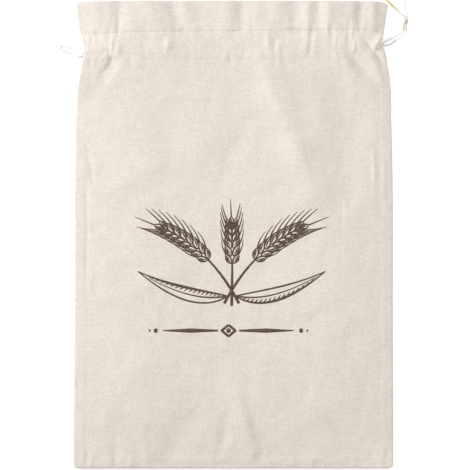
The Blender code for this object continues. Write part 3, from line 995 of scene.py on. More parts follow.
def give_lay(piece: bpy.types.Object, lay: Array) -> None:
    """Stores where each point is round and along its cord or thread, for the finish."""
    stored = piece.data.attributes.new("lay", "FLOAT_VECTOR", "POINT")
    stored.data.foreach_set("vector", lay.astype(np.float32).ravel())


def grid_faces(rows: int, columns: int, closed: bool = False, first: int = 0) -> Array:
    """Four-sided faces over a grid of points.

    Args:
        rows: Rows of points.
        columns: Points in a row.
        closed: Joins each row's last point to its first.
        first: The number of the grid's first point.

    Returns:
        Point numbers, a row for each face.
    """
    corner = first + np.arange(rows * columns).reshape(rows, columns)
    if closed:
        corner = np.concatenate([corner, corner[:, :1]], 1)
    loop = (corner[:-1, :-1], corner[:-1, 1:], corner[1:, 1:], corner[1:, :-1])
    return np.stack(loop, -1).reshape(-1, 4)


def frames_along(line: Array, start: Array) -> tuple[Array, Array, Array]:
    """Directions along a line and two across it that turn as little as they can.

    Args:
        line: Points, a row for each.
        start: Roughly the first direction across.

    Returns:
        The direction along it, the first across and the second across, at each point.
    """
    ahead = np.gradient(line, axis=0)
    ahead /= np.linalg.norm(ahead, axis=1)[:, None]
    side = np.zeros_like(line)
    across = np.array(start, float)
    for number, direction in enumerate(ahead):
        across = across - direction * (across @ direction)
        across /= np.linalg.norm(across)
        side[number] = across
    return ahead, side, np.cross(ahead, side)


class Hem:
    """Where the hem's lines run, for columns at given fractions across the panel."""

    def __init__(self, across: Array) -> None:
        """Reads the lines.

        Args:
            across: The columns' fractions.
        """
        self.upper = smooth(HEM_LINES, across, 1)
        self.cord = smooth(HEM_LINES, across, 2)
        self.lower = smooth(HEM_LINES, across, 3)

    def thickness(self, depth: Array, ply: tuple = PLIES) -> Array:
        """One panel's thickness at its sides, all layers and the room for the cord.

        Args:
            depth: Depths, a row for each row of points.
            ply: The thickness along each of the hem's lines.

        Returns:
            The thickness at each.
        """
        lines = np.stack([
            self.upper,
            self.cord - CHANNEL_FLAT,
            self.cord + CHANNEL_FLAT,
            self.lower,
            self.lower + HEM_TURNING,
            self.lower + SEAM_RUN_OUT,
            self.lower + SLACK_RUN_OUT,
        ])
        columns = [np.interp(depth[:, n], lines[:, n], ply) for n in range(depth.shape[1])]
        return np.stack(columns, 1)


@dataclass
class Panel:
    """One panel of the bag: a sheet from its bottom edge up, over the mouth and down inside."""

    side: Side
    cloth: bpy.types.Material
    columns: int
    body_rows: int
    hem_rows: int
    curl: float = 0.0013          # radius of the turned edges
    mouth_rows: int = 9           # round the turn at the mouth
    shoulder_power: float = 1.6   # how full the sides are below the hem
    seam_gap: float = 0.00006     # between the two panels' edges
    grooves: Place = (0.00045, 0.00016)   # depths of the upper and the lower sewn line
    groove_width: float = 0.0013
    gather: float = 0.00055       # height of the small puckers along the sewn lines
    channel_closing: float = 0.30      # share of the edge's curl left at the cord's exits
    channel_half_width: float = 0.0042
    allowance_rise: float = 0.00024

    def edge_fractions(self) -> Array:
        """Where the sheet's columns of points stand, close together at both sides.

        Returns:
            Fractions across.
        """
        width = OUTLINE[-1][2] - OUTLINE[-1][1]
        band = EDGE_BAND / width
        near = np.array(TURNED_POINTS) * self.curl * TURNED_REACH
        near = np.concatenate([near, np.linspace(*SIDE_POINTS)]) / width
        share = np.linspace(0, 1, self.columns - 2 * len(near))
        inner = np.interp(share, (0, *COLUMN_SHARES, 1), (band, *COLUMN_PLACES, 1 - band))
        return np.concatenate([near, inner, 1 - near[::-1]])

    def rows(self, across: Array) -> tuple[Array, Array]:
        """The rows of points from the bottom edge to the hem's end inside.

        Args:
            across: The columns' fractions.

        Returns:
            Depths, a row for each, and how far round the mouth's turn each row is.
        """
        hem = Hem(across)
        even = np.ones_like(across)
        turned = np.array(TURNED_POINTS) * self.curl * TURNED_REACH
        top = hem.lower + SEAM_RUN_OUT
        outer = [(LENGTH - rise) * even for rise in (*turned, *BOTTOM_POINTS)]
        for t in np.linspace(0, 1, self.body_rows)[:-1]:
            outer.append((LENGTH - EDGE_BAND) * (1 - t) + top * t)
        for t in np.linspace(0, 1, self.hem_rows)[:-1]:
            outer.append(top * (1 - t) + HEM_PLY / 2 * t)
        turns = np.linspace(0, math.pi, self.mouth_rows)
        mouth = [HEM_PLY / 2 * (1 - math.sin(t)) * even for t in turns]
        inner_rows = self.hem_rows // 2
        end = hem.lower + HEM_TURNING
        inner = [HEM_PLY / 2 * (1 - t) + end * t for t in np.linspace(0, 1, inner_rows)[1:]]
        turn = np.concatenate([np.zeros(len(outer)), turns, np.full(len(inner), math.pi)])
        return np.array(outer + mouth + inner), turn[:, None]

    def gathers(self, x: Array, depth: Array, line: Array, seed: int) -> Array:
        """Small uneven puckers along a sewn line.

        Args:
            x: Places across.
            depth: Places down the bag.
            line: The line's depth in each column.
            seed: Picks them.

        Returns:
            Their lift.
        """
        draw = np.random.default_rng(seed)
        total = np.zeros_like(x)
        at = OUTLINE[0][1]
        while at < OUTLINE[0][2]:
            at += draw.uniform(*GATHER_STEP)
            width, reach = draw.uniform(*GATHER_WIDTH), draw.uniform(*GATHER_REACH)
            lift, lean = draw.uniform(*GATHER_LIFT), draw.uniform(*GATHER_LEAN)
            away = depth - line
            total += lift * bell(x - at - lean * away, width) * bell(away, reach)
        return self.gather * total

    def front_relief(self, x: Array, depth: Array, hem: Hem, outer: Array) -> Array:
        """Folds, ruffles and puckers of the front panel.

        Args:
            x: Places across.
            depth: Places down the bag.
            hem: The hem's lines.
            outer: One on the outer layer and nil on the one turned inside.

        Returns:
            Their lift.
        """
        relief = sum(fold.lift(x, depth) for fold in BODY_FOLDS)
        start, half_way, end = RUFFLE_DEPTHS
        for above, below, width, lift in RUFFLES:
            middle = ((above + below) / 2, half_way)
            ruffle = Fold((above, start), middle, (below, end), width, width, lift)
            relief = relief + ruffle.lift(x, depth)
        relief = relief * ease(np.abs(depth - hem.cord), *CORD_MARGIN)
        inside = ease(depth, hem.upper, hem.cord) * (1 - ease(depth, hem.cord, hem.lower))
        for at, width, lift in PUCKERS:
            relief = relief + outer * lift * inside * bell(x - at, width)
        fine = sum(fold.lift(x, depth) for fold in FINE_FOLDS)
        for top_x, top, low_x, low, width, lift in WRINKLES:
            middle = ((top_x + low_x) / 2, (top + low) / 2)
            wrinkle = Fold((top_x, top), middle, (low_x, low), width, width, lift)
            fine = fine + wrinkle.lift(x, depth)
        for at, down, width, lift in SWELLINGS:
            fine = fine + lift * bell(np.hypot(x - at, depth - down), width)
        for height, wavelength, seed in UNEVEN_FRONT:
            fine = fine + height * wander(x, depth, wavelength, seed)
        for line, seed in zip((hem.upper, hem.lower), GATHER_SEEDS):
            fine = fine + self.gathers(x, depth, line, seed)
        return relief + outer * fine

    def front_skin(self, x: Array, depth: Array, inset: Array, hem: Hem, outer: Array) -> Array:
        """How high the front panel's outer face stands.

        Args:
            x: Places across.
            depth: Places down the bag.
            inset: How far each is in from the nearer side.
            hem: The hem's lines.
            outer: One on the outer layer and nil on the one turned inside.

        Returns:
            The height at each.
        """
        rim = 2 * hem.thickness(depth, SLACK_PLIES) + CLEARANCE
        gentle = ease(depth, hem.lower, hem.lower + SLACK_RUN_OUT)
        power = SHOULDER_POWER + (self.shoulder_power - SHOULDER_POWER) * gentle
        rise = 1 - (1 - np.clip(inset / SHOULDER, 0, 1)) ** power
        skin = rim + (smooth(CREST, depth) - rim) * rise
        relief = self.front_relief(x, depth, hem, outer)
        skin = np.maximum(skin + relief * ease(inset, 0, FOLD_MARGIN), rim)
        notch = sum(fold.lift(x, depth) for fold in NOTCH_CREASES)
        return skin + notch * outer * ease(inset, 0, NOTCH_MARGIN)

    def back_skin(self, x: Array, depth: Array, edge: Array) -> Array:
        """How high the back panel's outer face is off the floor.

        Args:
            x: Places across.
            depth: Places down the bag.
            edge: How far each is in from the nearest edge.

        Returns:
            The height at each.
        """
        height, wavelength, seed = UNEVEN_BACK
        lift = BACK_LIFT + height * wander(x, depth, wavelength, seed)
        return np.maximum(lift, 0) * ease(edge, *BACK_FLAT)

    def allowance(self, x: Array, depth: Array, edge: Array, hem: Hem) -> Array:
        """Where the seam allowance inside lifts the cloth beside an edge.

        Args:
            x: Places across.
            depth: Places down the bag.
            edge: How far each is in from the nearest edge.
            hem: The hem's lines.

        Returns:
            One where it lifts the cloth in full, nil where there is none.
        """
        height, wavelength, seed = SEAM_WAVER
        ends = SEAM_WIDTH + height * wander(x, depth, wavelength, seed)
        below = ease(depth, hem.lower + HEM_TURNING, hem.lower + SEAM_RUN_OUT)
        step = 1 - ease(edge, ends - SEAM_STEP, ends + SEAM_STEP)
        return step * below * ease(edge, *SEAM_START)

    def lie(self, across: Array, depth: Array, turn: Array) -> Array:
        """Where the skin lies.

        Args:
            across: Fractions, one for each column.
            depth: Depths, a row for each row of points.
            turn: How far round the mouth's turn each row is: nil outside, pi inside.

        Returns:
            Points, rows by columns.
        """
        hem = Hem(across)
        whole = np.maximum(depth, HEM_PLY / 2)
        corner = np.clip((whole - LENGTH + CORNER_RADIUS) / CORNER_RADIUS, 0, 1)
        rounding = CORNER_RADIUS * (1 - np.sqrt(1 - corner**2))
        left = smooth(OUTLINE, whole, 1) + rounding
        right = smooth(OUTLINE, whole, 2) - rounding
        x = left + (right - left) * across
        y = MOUTH_Y - smooth(MOUTH_DROP, across) * ease(LENGTH - whole, 0, BOTTOM_REACH) - depth
        y = y - smooth(MOUTH_CORNER, across) * (1 - ease(whole, 0, CORNER_REACH))
        inset = np.minimum(x - left, right - x)
        edge = np.minimum(inset, LENGTH - whole)
        ply = hem.thickness(whole)
        outer = (1 + np.cos(turn)) / 2
        sewn = ease(whole, hem.lower, hem.lower + HEM_TURNING) * outer
        seam = ply + CLEARANCE / 2
        if self.side is Side.FRONT:
            skin = self.front_skin(x, whole, inset, hem, outer)
            middle, facing, seam = skin - ply / 2, 1, seam + self.seam_gap
        else:
            skin = self.back_skin(x, whole, edge)
            middle, facing, seam = skin + ply / 2, -1, seam - self.seam_gap
        face = facing * (outer * 2 - 1)
        z = middle + facing * ply / 2 * np.cos(turn)
        for line, groove in zip((hem.upper, hem.lower), self.grooves):
            z = z - face * groove * bell(whole - line, self.groove_width)
        if self.side is Side.FRONT:
            z = z + outer * self.allowance_rise * self.allowance(x, whole, edge, hem)
        target = middle + face * self.seam_gap + (seam - middle) * sewn
        away = np.clip(1 - edge / self.curl, 0, 1)
        channel = bell(whole - hem.cord, self.channel_half_width)
        closing = 1 - (1 - self.channel_closing) * channel
        z = z + (target - z) * (1 - np.sqrt(1 - away**2)) * closing
        return np.stack([x, y, z], -1)

    def build(self) -> bpy.types.Object:
        """Returns:
            The piece.
        """
        across = self.edge_fractions()
        depth, turn = self.rows(across)
        points = self.lie(across, depth, turn)
        faces = grid_faces(*points.shape[:2])
        if self.side is Side.BACK:
            faces = faces[:, ::-1]
        piece = make_piece(f"{self.side.value}_cloth", points, faces.tolist(), self.cloth)
        ply = piece.modifiers.new("cloth", "SOLIDIFY")
        ply.thickness = CLOTH
        ply.offset = -1
        ply.use_even_offset = True
        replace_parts(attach(piece, BODY), self.side.value)
        return piece


@dataclass
class Stitching:
    """The two sewn rows of a panel's hem, as single stitches of thread."""

    panel: Panel
    threads: tuple[bpy.types.Material, bpy.types.Material]   # for the upper and the lower row
    pitch: float = 0.0031
    gap: float = 0.0007
    radius: float = 0.00017
    sides: int = 6
    rings: int = 6
    sewn: Place = (0.012, 0.988)  # fractions across where a row starts and ends
    row_length: float = 0.288
    arch: float = 1.7             # how far a stitch's middle rises, in radii
    sunk: float = 1.0             # how far its ends lie under the cloth, in radii
    slimness: float = 0.55        # a stitch's ends, as a share of its middle
    lay_scale: float = 300.0      # fits the thread's fibres to its size

    def row(self, line: int, turn: float) -> Array:
        """One row's points.

        Args:
            line: The column of the hem's table to sew along.
            turn: Nil on the outer layer and pi on the inner one.

        Returns:
            Points, by stitch, ring and side.
        """
        count = int(self.row_length / self.pitch)
        start = np.linspace(*self.sewn, count, endpoint=False)
        span = (self.sewn[1] - self.sewn[0]) / count * (1 - self.gap / self.pitch)
        step = np.linspace(0, 1, self.rings)
        across = (start[:, None] + span * step).ravel()
        depth = smooth(HEM_LINES, across, line)[None, :]
        centre = self.panel.lie(across, depth, np.array([[turn]]))
        centre = centre.reshape(count, self.rings, 3)
        up = (1 if self.panel.side is Side.FRONT else -1) * (1 if turn == 0 else -1)
        rise = np.sin(math.pi * step) * self.arch - self.sunk
        centre[..., 2] += up * self.radius * rise
        angle = np.linspace(0, math.tau, self.sides, endpoint=False)
        taper = self.slimness + (1 - self.slimness) * np.sin(math.pi * step)
        offset = np.stack([np.zeros(self.sides), np.cos(angle), np.sin(angle)], -1)
        return centre[:, :, None] + offset * self.radius * taper[None, :, None, None]

    def build(self) -> bpy.types.Object:
        """Makes all the stitches of the panel as one piece.

        Returns:
            The piece.
        """
        rows = [self.row(line, turn) for line in (1, 3) for turn in (0.0, math.pi)]
        stitches = np.concatenate(rows)
        size = self.rings * self.sides
        faces = np.concatenate([
            grid_faces(self.rings, self.sides, True, n * size) for n in range(len(stitches))
        ])
        upper, lower = self.threads
        name = f"{self.panel.side.value}_stitching"
        piece = make_piece(name, stitches, faces.tolist(), upper)
        piece.data.materials.append(lower)
        in_lower = (np.arange(len(faces)) >= len(faces) // 2).astype(np.int32)
        piece.data.polygons.foreach_set("material_index", in_lower)
        give_lay(piece, stitches * self.lay_scale)
        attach(piece, BODY)
        return piece


@dataclass(frozen=True)
class Rope:
    """The form of the cord: three soft strands laid round each other."""

    strands: int = 3
    lay_length: float = 0.0085    # one full turn
    strand: float = 0.74          # a strand's radius, as a share of the cord's
    sides: int = 24

    def tube(self, line: Array, radius: float, start: Point,
             tight: float = 1.0) -> tuple[Array, Array]:
        """A length of cord along a line.

        Args:
            line: Its centreline, evenly spaced.
            radius: Half the cord's width.
            start: Roughly the first direction across.
            tight: How far the strands stand out, from nil to one.

        Returns:
            Points, rings by sides, and for each where it is in the cord's lay.
        """
        _, side, other = frames_along(line, start)
        run = run_along(line)
        angle = np.linspace(0, math.tau, self.sides, endpoint=False)
        sector = math.tau / self.strands
        from_strand = (angle + sector / 2) % sector - sector / 2
        reach = 1 - self.strand
        bulge = np.sqrt(self.strand**2 - (reach * np.sin(from_strand)) ** 2)
        form = 1 - (1 - reach * np.cos(from_strand) - bulge) * tight
        spin = angle + run[:, None] * math.tau / self.lay_length
        across = np.cos(spin)[..., None] * side[:, None] + np.sin(spin)[..., None] * other[:, None]
        points = line[:, None] + across * (form * radius)[None, :, None]
        around = np.broadcast_to(np.stack([np.cos(angle), np.sin(angle)], -1), (*spin.shape, 2))
        lay = np.concatenate([around, np.broadcast_to(run[:, None, None], (*spin.shape, 1))], -1)
        return points, lay


def tube_faces(rings: int, sides: int, first: int = 0) -> list[list[int]]:
    """The faces of a tube with both ends closed.

    Args:
        rings: Rings of points along it.
        sides: Points in a ring.
        first: The number of its first point.

    Returns:
        Point numbers, a list for each face.
    """
    faces = grid_faces(rings, sides, True, first)[:, ::-1].tolist()
    last = first + (rings - 1) * sides
    return faces + [list(range(first, first + sides)), list(range(last + sides - 1, last - 1, -1))]


def rope_piece(name: str, tubes: list[tuple[Array, Array]],
               material: bpy.types.Material) -> bpy.types.Object:
    """One piece of one or more lengths of cord.

    Args:
        name: The piece's name.
        tubes: Points and lay of each length.
        material: Its finish.

    Returns:
        The piece.
    """
    points = np.concatenate([p.reshape(-1, 3) for p, _ in tubes])
    points[:, 2] = np.maximum(points[:, 2], OFF_THE_FLOOR)
    faces, first = [], 0
    for ring_points, _ in tubes:
        faces += tube_faces(*ring_points.shape[:2], first)
        first += ring_points.shape[0] * ring_points.shape[1]
    piece = make_piece(name, points, faces, material)
    give_lay(piece, np.concatenate([lay.ravel() for _, lay in tubes]))
    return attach(piece, BODY)


@dataclass
class Cord:
    """A length of the drawstring, along the route of its solid."""

    node: str
    route: tuple
    length: float
    far_end: FarEnd
    cotton: bpy.types.Material
    rope: Rope
    spacing: float = 0.00062

    def build(self, with_pieces: list[bpy.types.Object]) -> bpy.types.Object:
        """Args:
            with_pieces: What is on it. Not used.

        Returns:
            The piece.
        """
        line = along_route(self.route, int(self.length / self.spacing))
        tube = self.rope.tube(line, CORD / 2, UPWARDS)
        piece = rope_piece(f"{self.node}_cord", [tube], self.cotton)
        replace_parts(piece, self.node)
        return piece


@dataclass
class Knot:
    """An overhand knot in both ends of the drawstring, drawn up tight."""

    cotton: bpy.types.Material
    rope: Rope
    reach: float = 2.04           # the knot's curve runs from minus this to this
    kept: float = 1.93            # and is used from minus this to this
    curve_half: float = 9.5       # half the curve's length, in its own units
    fill: float = 0.82            # how much of the knot's solid it takes up lengthwise
    tight: float = 0.8            # how far the strands of the cord stand out in it
    half_width: float = 0.00067   # for each unit of the curve across
    strand_radius: float = 0.00106
    pair: float = 0.00098         # half the distance between the two strands

    def middle(self, t: Array) -> tuple[Array, Array, Array]:
        """The curve of an overhand knot: along, across and up, in its own units."""
        return t**5 - 10 * t, t**3 - 3 * t, t**4 - 4 * t**2 + 2

    def strand(self, hand: int, first: Point, last: Point) -> Array:
        """One strand's centreline through the knot.

        Args:
            hand: Minus one for the left strand and one for the right.
            first: Where it comes in.
            last: Where it goes out.

        Returns:
            Its points.
        """
        low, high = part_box("knot")
        centre = (np.array(low) + np.array(high)) / 2
        half_length = (high.y - low.y) / 2 * self.fill
        t = np.linspace(-self.reach, self.reach, 90)
        along, across, up = self.middle(t)
        axis = np.array((math.cos(KNOT_HEADING), math.sin(KNOT_HEADING), 0))
        right = np.array((math.sin(KNOT_HEADING), -math.cos(KNOT_HEADING), 0))
        curve = (centre + np.outer(along / self.curve_half * half_length, axis)
                 + np.outer(across * self.half_width, right)
                 + np.outer(up * self.half_width, UPWARDS))
        ahead, side, other = frames_along(curve, right)
        wanted = right - ahead[-1] * (right @ ahead[-1])
        twist = math.atan2(wanted @ other[-1], wanted @ side[-1])
        angle = np.linspace(0, twist, len(t))[:, None]
        curve = curve + hand * self.pair * (np.cos(angle) * side + np.sin(angle) * other)
        inside = np.abs(t) < self.kept
        path = np.concatenate([[first], curve[inside], [last]])
        return along_route(path, 150)

    def build(self) -> bpy.types.Object:
        """Makes the knot from its two strands.

        Returns:
            The piece.
        """
        strands = (
            self.strand(-1, DRAWSTRING[0], TAIL_NEAR[0]),
            self.strand(1, DRAWSTRING[-1], TAIL_FAR[0]),
        )
        radius = self.strand_radius
        tubes = [self.rope.tube(line, radius, UPWARDS, self.tight) for line in strands]
        piece = rope_piece("tied_knot", tubes, self.cotton)
        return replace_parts(piece, "knot")


class Pen(Enum):
    """Widths of the print's lines, at their start, half way and at their end."""

    STEM = (0.0016, 0.0014, 0.0010)
    GRAIN = (0.0006, 0.0009, 0.0005)
    SHADED_GRAIN = (0.0006, 0.0013, 0.0005)
    CREASE = (0.0004, 0.0008, 0.0003)
    BRISTLE = (0.0008, 0.0006, 0.0003)
    LEAF = (0.0008, 0.0010, 0.0006)
    SHADED_LEAF = (0.0008, 0.0015, 0.0006)
    MIDRIB = (0.0010, 0.0007, 0.0004)
    LEAF_HATCH = (0.0009, 0.0007, 0.0003)
    RULE = (0.0010, 0.0024, 0.0006)
    LARGE_DOT = (0.0016, 0.0016, 0.0016)
    SMALL_DOT = (0.0010, 0.0010, 0.0010)
    LOZENGE = (0.0014, 0.0014, 0.0014)
    DASH = (0.0014, 0.0028, 0.0014)


# The three ears. Columns: foot of the stem, the point that bows it, its tip, pairs of grains,
# length of the largest grain, length of the bristles.
EARS = (
    ((0.006, -0.040), (-0.018, 0.006), (-0.058, 0.022), 8, 0.0115, 0.017),
    ((-0.006, -0.040), (0.018, 0.006), (0.058, 0.022), 8, 0.0115, 0.017),
    ((0.0, -0.042), (0.001, 0.0), (0.0, 0.024), 6, 0.0110, 0.014),
)

# The two leaves. Columns: foot, the point that bows it, tip, half its greatest width.
LEAVES = (
    ((-0.004, -0.034), (-0.034, -0.040), (-0.076, -0.014), 0.0052),
    ((0.004, -0.034), (0.034, -0.040), (0.076, -0.014), 0.0052),
)

# The plain rule under them
RULE_ENDS = (0.0085, 0.053)      # of each half, out from its middle
RULE_DOTS = ((0.0590, Pen.LARGE_DOT), (0.0640, Pen.SMALL_DOT))
LOZENGE = ((0, 0.0046), (0.0056, 0), (0, -0.0046), (-0.0056, 0), (0, 0.0046))
DASH_HALF = 0.0018


@dataclass
class Stroke:
    """A line of ink: its points in the cloth's plane and its width at each."""

    points: Array
    widths: Array


@dataclass
class WheatPrint:
    """A one-colour print of wheat ears over a plain rule, on the front of the bag."""

    ink: bpy.types.Material
    centre: Place = (-0.0015, -0.0180)
    rule_centre: Place = (-0.0040, -0.0800)
    step: float = 0.0008
    film: float = 0.00005
    overlap_lift: float = 0.0000004   # keeps lines that cross apart
    weight: float = 1.75          # how heavy the lines are
    scale: float = 1.16
    bow_points: int = 24          # along a short bowed line
    grains: Place = (0.46, 0.93)  # where the ear starts and ends, as shares of the stem
    grain_lean: Place = (30, 12)  # degrees off the stem at its foot, and how much less at its top
    grain_width: float = 0.40     # as a share of the length
    grain_root: float = 0.0008    # off the stem's middle
    top_grain: float = 0.85       # as a share of the largest
    hatching: Point = (0.34, 0.50, 0.66)   # along a grain
    awn_lean: float = 16          # degrees off the stem
    midrib_gap: int = 6           # points by which a leaf's midrib ends short of its tip
    leaf_hatching: tuple[int, int, int] = (5, 9, 3)   # first, short of the tip, from one to next
    strokes: list[Stroke] = field(default_factory=list)

    def add(self, points: Array | list, pen: Pen) -> None:
        """Adds a line.

        Args:
            points: The line's points, in metres from the print's centre.
            pen: Its widths.
        """
        points = np.array(points)
        count = max(3, int(run_along(points)[-1] / self.step) + 1)
        widths = np.interp(np.linspace(0, 1, count), (0, 0.5, 1), pen.value)
        self.strokes.append(Stroke(spaced(points, count) * self.scale, widths * self.weight))

    def bow(self, start: Array, pull: Array, end: Array, pen: Pen) -> None:
        """Adds a line from start to end that is drawn towards a third point."""
        self.add(bowed(start, pull, end, self.bow_points), pen)

    def kernel(self, root: Array, heading: float, length: float, shade: int) -> None:
        """One grain: two bowed sides, a crease and a little hatching on its shaded side.

        Args:
            root: Where it sits on the ear.
            heading: The way it points.
            length: How long it is.
            shade: Which side is hatched, minus one or one.
        """
        ahead, side = towards(heading), shade * towards(heading + math.pi / 2)
        width = length * self.grain_width

        def at(along: float, aside: float) -> Array:
            """A place on the grain, in shares of its length and, to its shaded side, its width."""
            return root + ahead * length * along + side * width * aside

        for hand in (-1, 1):
            pen = Pen.SHADED_GRAIN if hand == shade else Pen.GRAIN
            self.bow(root, at(0.42, 1.02 * hand * shade), at(1, 0), pen)
        self.bow(at(0.18, 0), at(0.5, 0.12), at(0.80, 0), Pen.CREASE)
        for share in self.hatching:
            self.add([at(share, 0.40), at(share, 0.16) + ahead * 0.0009], Pen.BRISTLE)

    def ear(self, foot: Place, pull: Place, top: Place, pairs: int, size: float,
            awn: float) -> None:
        """One ear of wheat on its stem.

        Args:
            foot: Where the stem starts.
            pull: The point that bows it.
            top: Where it ends.
            pairs: Pairs of grains.
            size: Length of the largest grain.
            awn: Length of the bristles.
        """
        line = bowed(foot, pull, top, 120)
        heading = np.gradient(line, axis=0)
        angles = np.arctan2(heading[:, 1], heading[:, 0])
        first, last = self.grains
        lean_at_foot, less = self.grain_lean
        self.add(line[: int(first * len(line)) + 3], Pen.STEM)
        for number in range(pairs):
            share = first + (last - first) * number / (pairs - 1)
            at = int(share * (len(line) - 1))
            swell = math.sin(math.pi * (0.18 + 0.62 * number / (pairs - 1)))
            length = size * (0.62 + 0.38 * swell)
            for hand in (-1, 1):
                lean = angles[at] + hand * math.radians(lean_at_foot - less * number / pairs)
                root = line[at] + self.grain_root * hand * towards(angles[at] + math.pi / 2)
                self.kernel(root, lean, length, hand)
                tip = root + length * towards(lean)
                out = angles[at] + hand * math.radians(self.awn_lean)
                end = tip + awn * (0.75 + 0.25 * swell) * towards(out)
                self.bow(tip, tip + awn * 0.5 * towards(lean), end, Pen.BRISTLE)
        root, ahead, length = line[-7], towards(angles[-1]), size * self.top_grain
        self.kernel(root, angles[-1], length, 1)
        tip = root + length * ahead
        self.add([tip, tip + awn * ahead], Pen.BRISTLE)

    def leaf(self, root: Place, pull: Place, tip: Place, width: float) -> None:
        """A long leaf with a midrib and hatching below it.

        Args:
            root: Its foot.
            pull: The point that bows it.
            tip: Its tip.
            width: Half its greatest width.
        """
        line = bowed(root, pull, tip, 60)
        heading = np.gradient(line, axis=0)
        side = np.stack([-heading[:, 1], heading[:, 0]], -1)
        side /= np.linalg.norm(side, axis=1)[:, None]
        swell = np.sin(math.pi * np.linspace(0, 1, len(line)) ** 0.8)[:, None] * width
        self.add(line + side * swell, Pen.LEAF)
        self.add(line - side * swell, Pen.SHADED_LEAF)
        self.add(line[: -self.midrib_gap], Pen.MIDRIB)
        first, short, step = self.leaf_hatching
        for number in range(first, len(line) - short, step):
            across = side[number] * swell[number]
            low = line[number] - across * 0.92
            self.add([low, low + across * 0.55 + heading[number] * 2.2], Pen.LEAF_HATCH)

    def rule(self) -> None:
        """A plain rule: two long tapered lines, dots and a lozenge in the middle."""
        shift = np.array(self.rule_centre) - np.array(self.centre)
        turn = np.linspace(0, math.tau, 15)
        ring = np.stack([np.cos(turn), np.sin(turn)], -1)
        for hand in (-1, 1):
            self.add([shift + (x * hand, 0) for x in RULE_ENDS], Pen.RULE)
            for x, pen in RULE_DOTS:
                self.add(shift + (x * hand, 0) + ring * pen.value[0] / 2, pen)
        self.add([shift + corner for corner in LOZENGE], Pen.LOZENGE)
        self.add([shift + (x, 0) for x in (-DASH_HALF, DASH_HALF)], Pen.DASH)

    def draw(self) -> None:
        """Lays out the whole print."""
        for ear in EARS:
            self.ear(*ear)
        for leaf in LEAVES:
            self.leaf(*leaf)
        self.rule()

    def build(self, cloth: bpy.types.Object) -> bpy.types.Object:
        """Lays the ink on the cloth as a thin film.

        Args:
            cloth: The front panel.

        Returns:
            The print's piece.
        """
        self.draw()
        bpy.context.view_layer.update()
        under = BVHTree.FromObject(cloth, bpy.context.evaluated_depsgraph_get())
        points, faces, first = [], [], 0
        for number, stroke in enumerate(self.strokes):
            ahead = np.gradient(stroke.points, axis=0)
            ahead /= np.linalg.norm(ahead, axis=1)[:, None]
            across = np.stack([-ahead[:, 1], ahead[:, 0]], -1) * stroke.widths[:, None] / 2
            rows = np.stack([stroke.points + across, stroke.points, stroke.points - across], 1)
            for x, y in rows.reshape(-1, 2) + np.array(self.centre):
                hit = under.ray_cast(Vector((x, y, 0.1)), Vector((0, 0, -1)))[0]
                points.append((x, y, hit.z + self.film + self.overlap_lift * (number % 60)))
            faces.append(grid_faces(len(rows), 3, first=first)[:, ::-1])
            first += 3 * len(rows)
        faces = np.concatenate(faces)[:, ::-1].tolist()
        piece = make_piece("wheat_print", np.array(points), faces, self.ink)
        film = piece.modifiers.new("film", "SOLIDIFY")
        film.thickness = self.film * 0.8
        film.offset = -1
        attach(piece, BODY)
        return piece


# Soft square lights. Columns: name, place, what it faces, width, power in watts.
LIGHTS = (
    ("key", (-2.45, 1.0, 1.38), (0, 0, 0), 1.0, 72.5),
    ("fill", (0.7, -0.4, 1.5), (0, 0, 0), 1.4, 4.0),
    ("right", (0.50, 0.24, 0.72), (0.10, 0.12, 0), 0.4, 1.7),
)


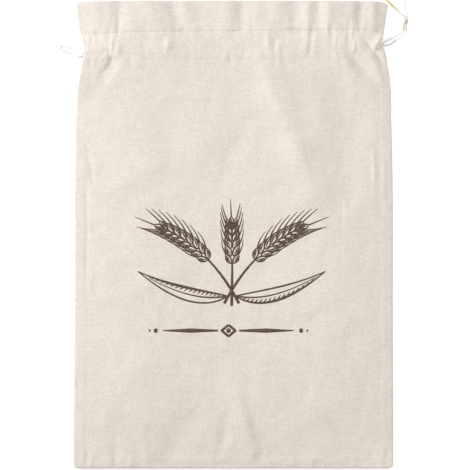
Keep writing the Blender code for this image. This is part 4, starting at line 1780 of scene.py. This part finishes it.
@dataclass
class Studio:
    """A pale floor, soft light and the camera straight above the bag."""

    floor_size: float = 3.0
    lens: float = 150.0
    sensor: float = 36.0
    edge_height: float = 0.004    # the bag's outline is about this high
    floor_drop: float = 0.0001    # the floor is this far under the bag
    surround: float = 0.47        # strength of the even light all round

    def camera(self) -> None:
        """Adds the camera at the photograph's angle."""
        data = bpy.data.cameras.new("camera")
        data.lens = self.lens
        data.sensor_width = self.sensor
        camera = bpy.data.objects.new("camera", data)
        height = self.edge_height + FRAME_WIDTH * self.lens / self.sensor
        camera.location = (*FRAME_CENTRE, height)
        bpy.context.scene.collection.objects.link(camera)
        bpy.context.scene.camera = camera

    def floor(self) -> None:
        """Adds the floor."""
        corners = np.array([(-1, -1, 0), (1, -1, 0), (1, 1, 0), (-1, 1, 0)]) * self.floor_size / 2
        floor = make_piece("floor", corners, [[0, 1, 2, 3]], FloorFinish().make())
        floor.location.z = -self.floor_drop

    def light(self, name: str, place: Point, aim: Point, size: float, power: float) -> None:
        """Adds one soft square light.

        Args:
            name: Its name.
            place: Where it hangs.
            aim: What it faces.
            size: Its width.
            power: Its power in watts.
        """
        data = bpy.data.lights.new(name, "AREA")
        data.size = size
        data.energy = power
        lamp = bpy.data.objects.new(name, data)
        lamp.location = place
        lamp.rotation_euler = (Vector(place) - Vector(aim)).to_track_quat("Z", "Y").to_euler()
        bpy.context.scene.collection.objects.link(lamp)

    def build(self) -> None:
        """Adds everything round the bag."""
        self.camera()
        self.floor()
        for light in LIGHTS:
            self.light(*light)
        world = bpy.data.worlds.new("studio")
        world.use_nodes = True
        background = world.node_tree.nodes["Background"]
        background.inputs["Color"].default_value = (1, 1, 1, 1)
        background.inputs["Strength"].default_value = self.surround
        bpy.context.scene.world = world
        bpy.context.scene.view_settings.view_transform = "Standard"


def main() -> None:
    """Builds the studio and the bag's pieces in order."""
    logging.basicConfig(level=logging.INFO, format="%(message)s")
    Studio().build()
    log.info("studio")
    cotton, near_cotton, far_cotton = (
        finish.make() for finish in (CORD_COTTON, NEAR_TAIL_COTTON, FAR_TAIL_COTTON)
    )
    threads = (UPPER_THREAD.make(), LOWER_THREAD.make())
    linen = LinenFinish().make()
    rope = Rope()
    knot = Knot(KNOT_COTTON.make(), rope).build()
    log.info("knot")
    Cord("drawstring", DRAWSTRING, DRAWSTRING_LENGTH, FarEnd.KNOT, cotton, rope).build([knot])
    Cord("tail_near", TAIL_NEAR, TAIL_NEAR_LENGTH, FarEnd.BARE, near_cotton, rope).build([])
    Cord("tail_far", TAIL_FAR, TAIL_FAR_LENGTH, FarEnd.BARE, far_cotton, rope).build([])
    log.info("cords")
    front = Panel(Side.FRONT, linen, columns=200, body_rows=98, hem_rows=70)
    back = Panel(Side.BACK, linen, columns=96, body_rows=84, hem_rows=56)
    front_cloth = front.build()
    back.build()
    log.info("panels")
    for panel in (front, back):
        Stitching(panel, threads).build()
    log.info("stitching")
    WheatPrint(InkFinish().make()).build(front_cloth)
    log.info("print")


if __name__ == "__main__":
    main()
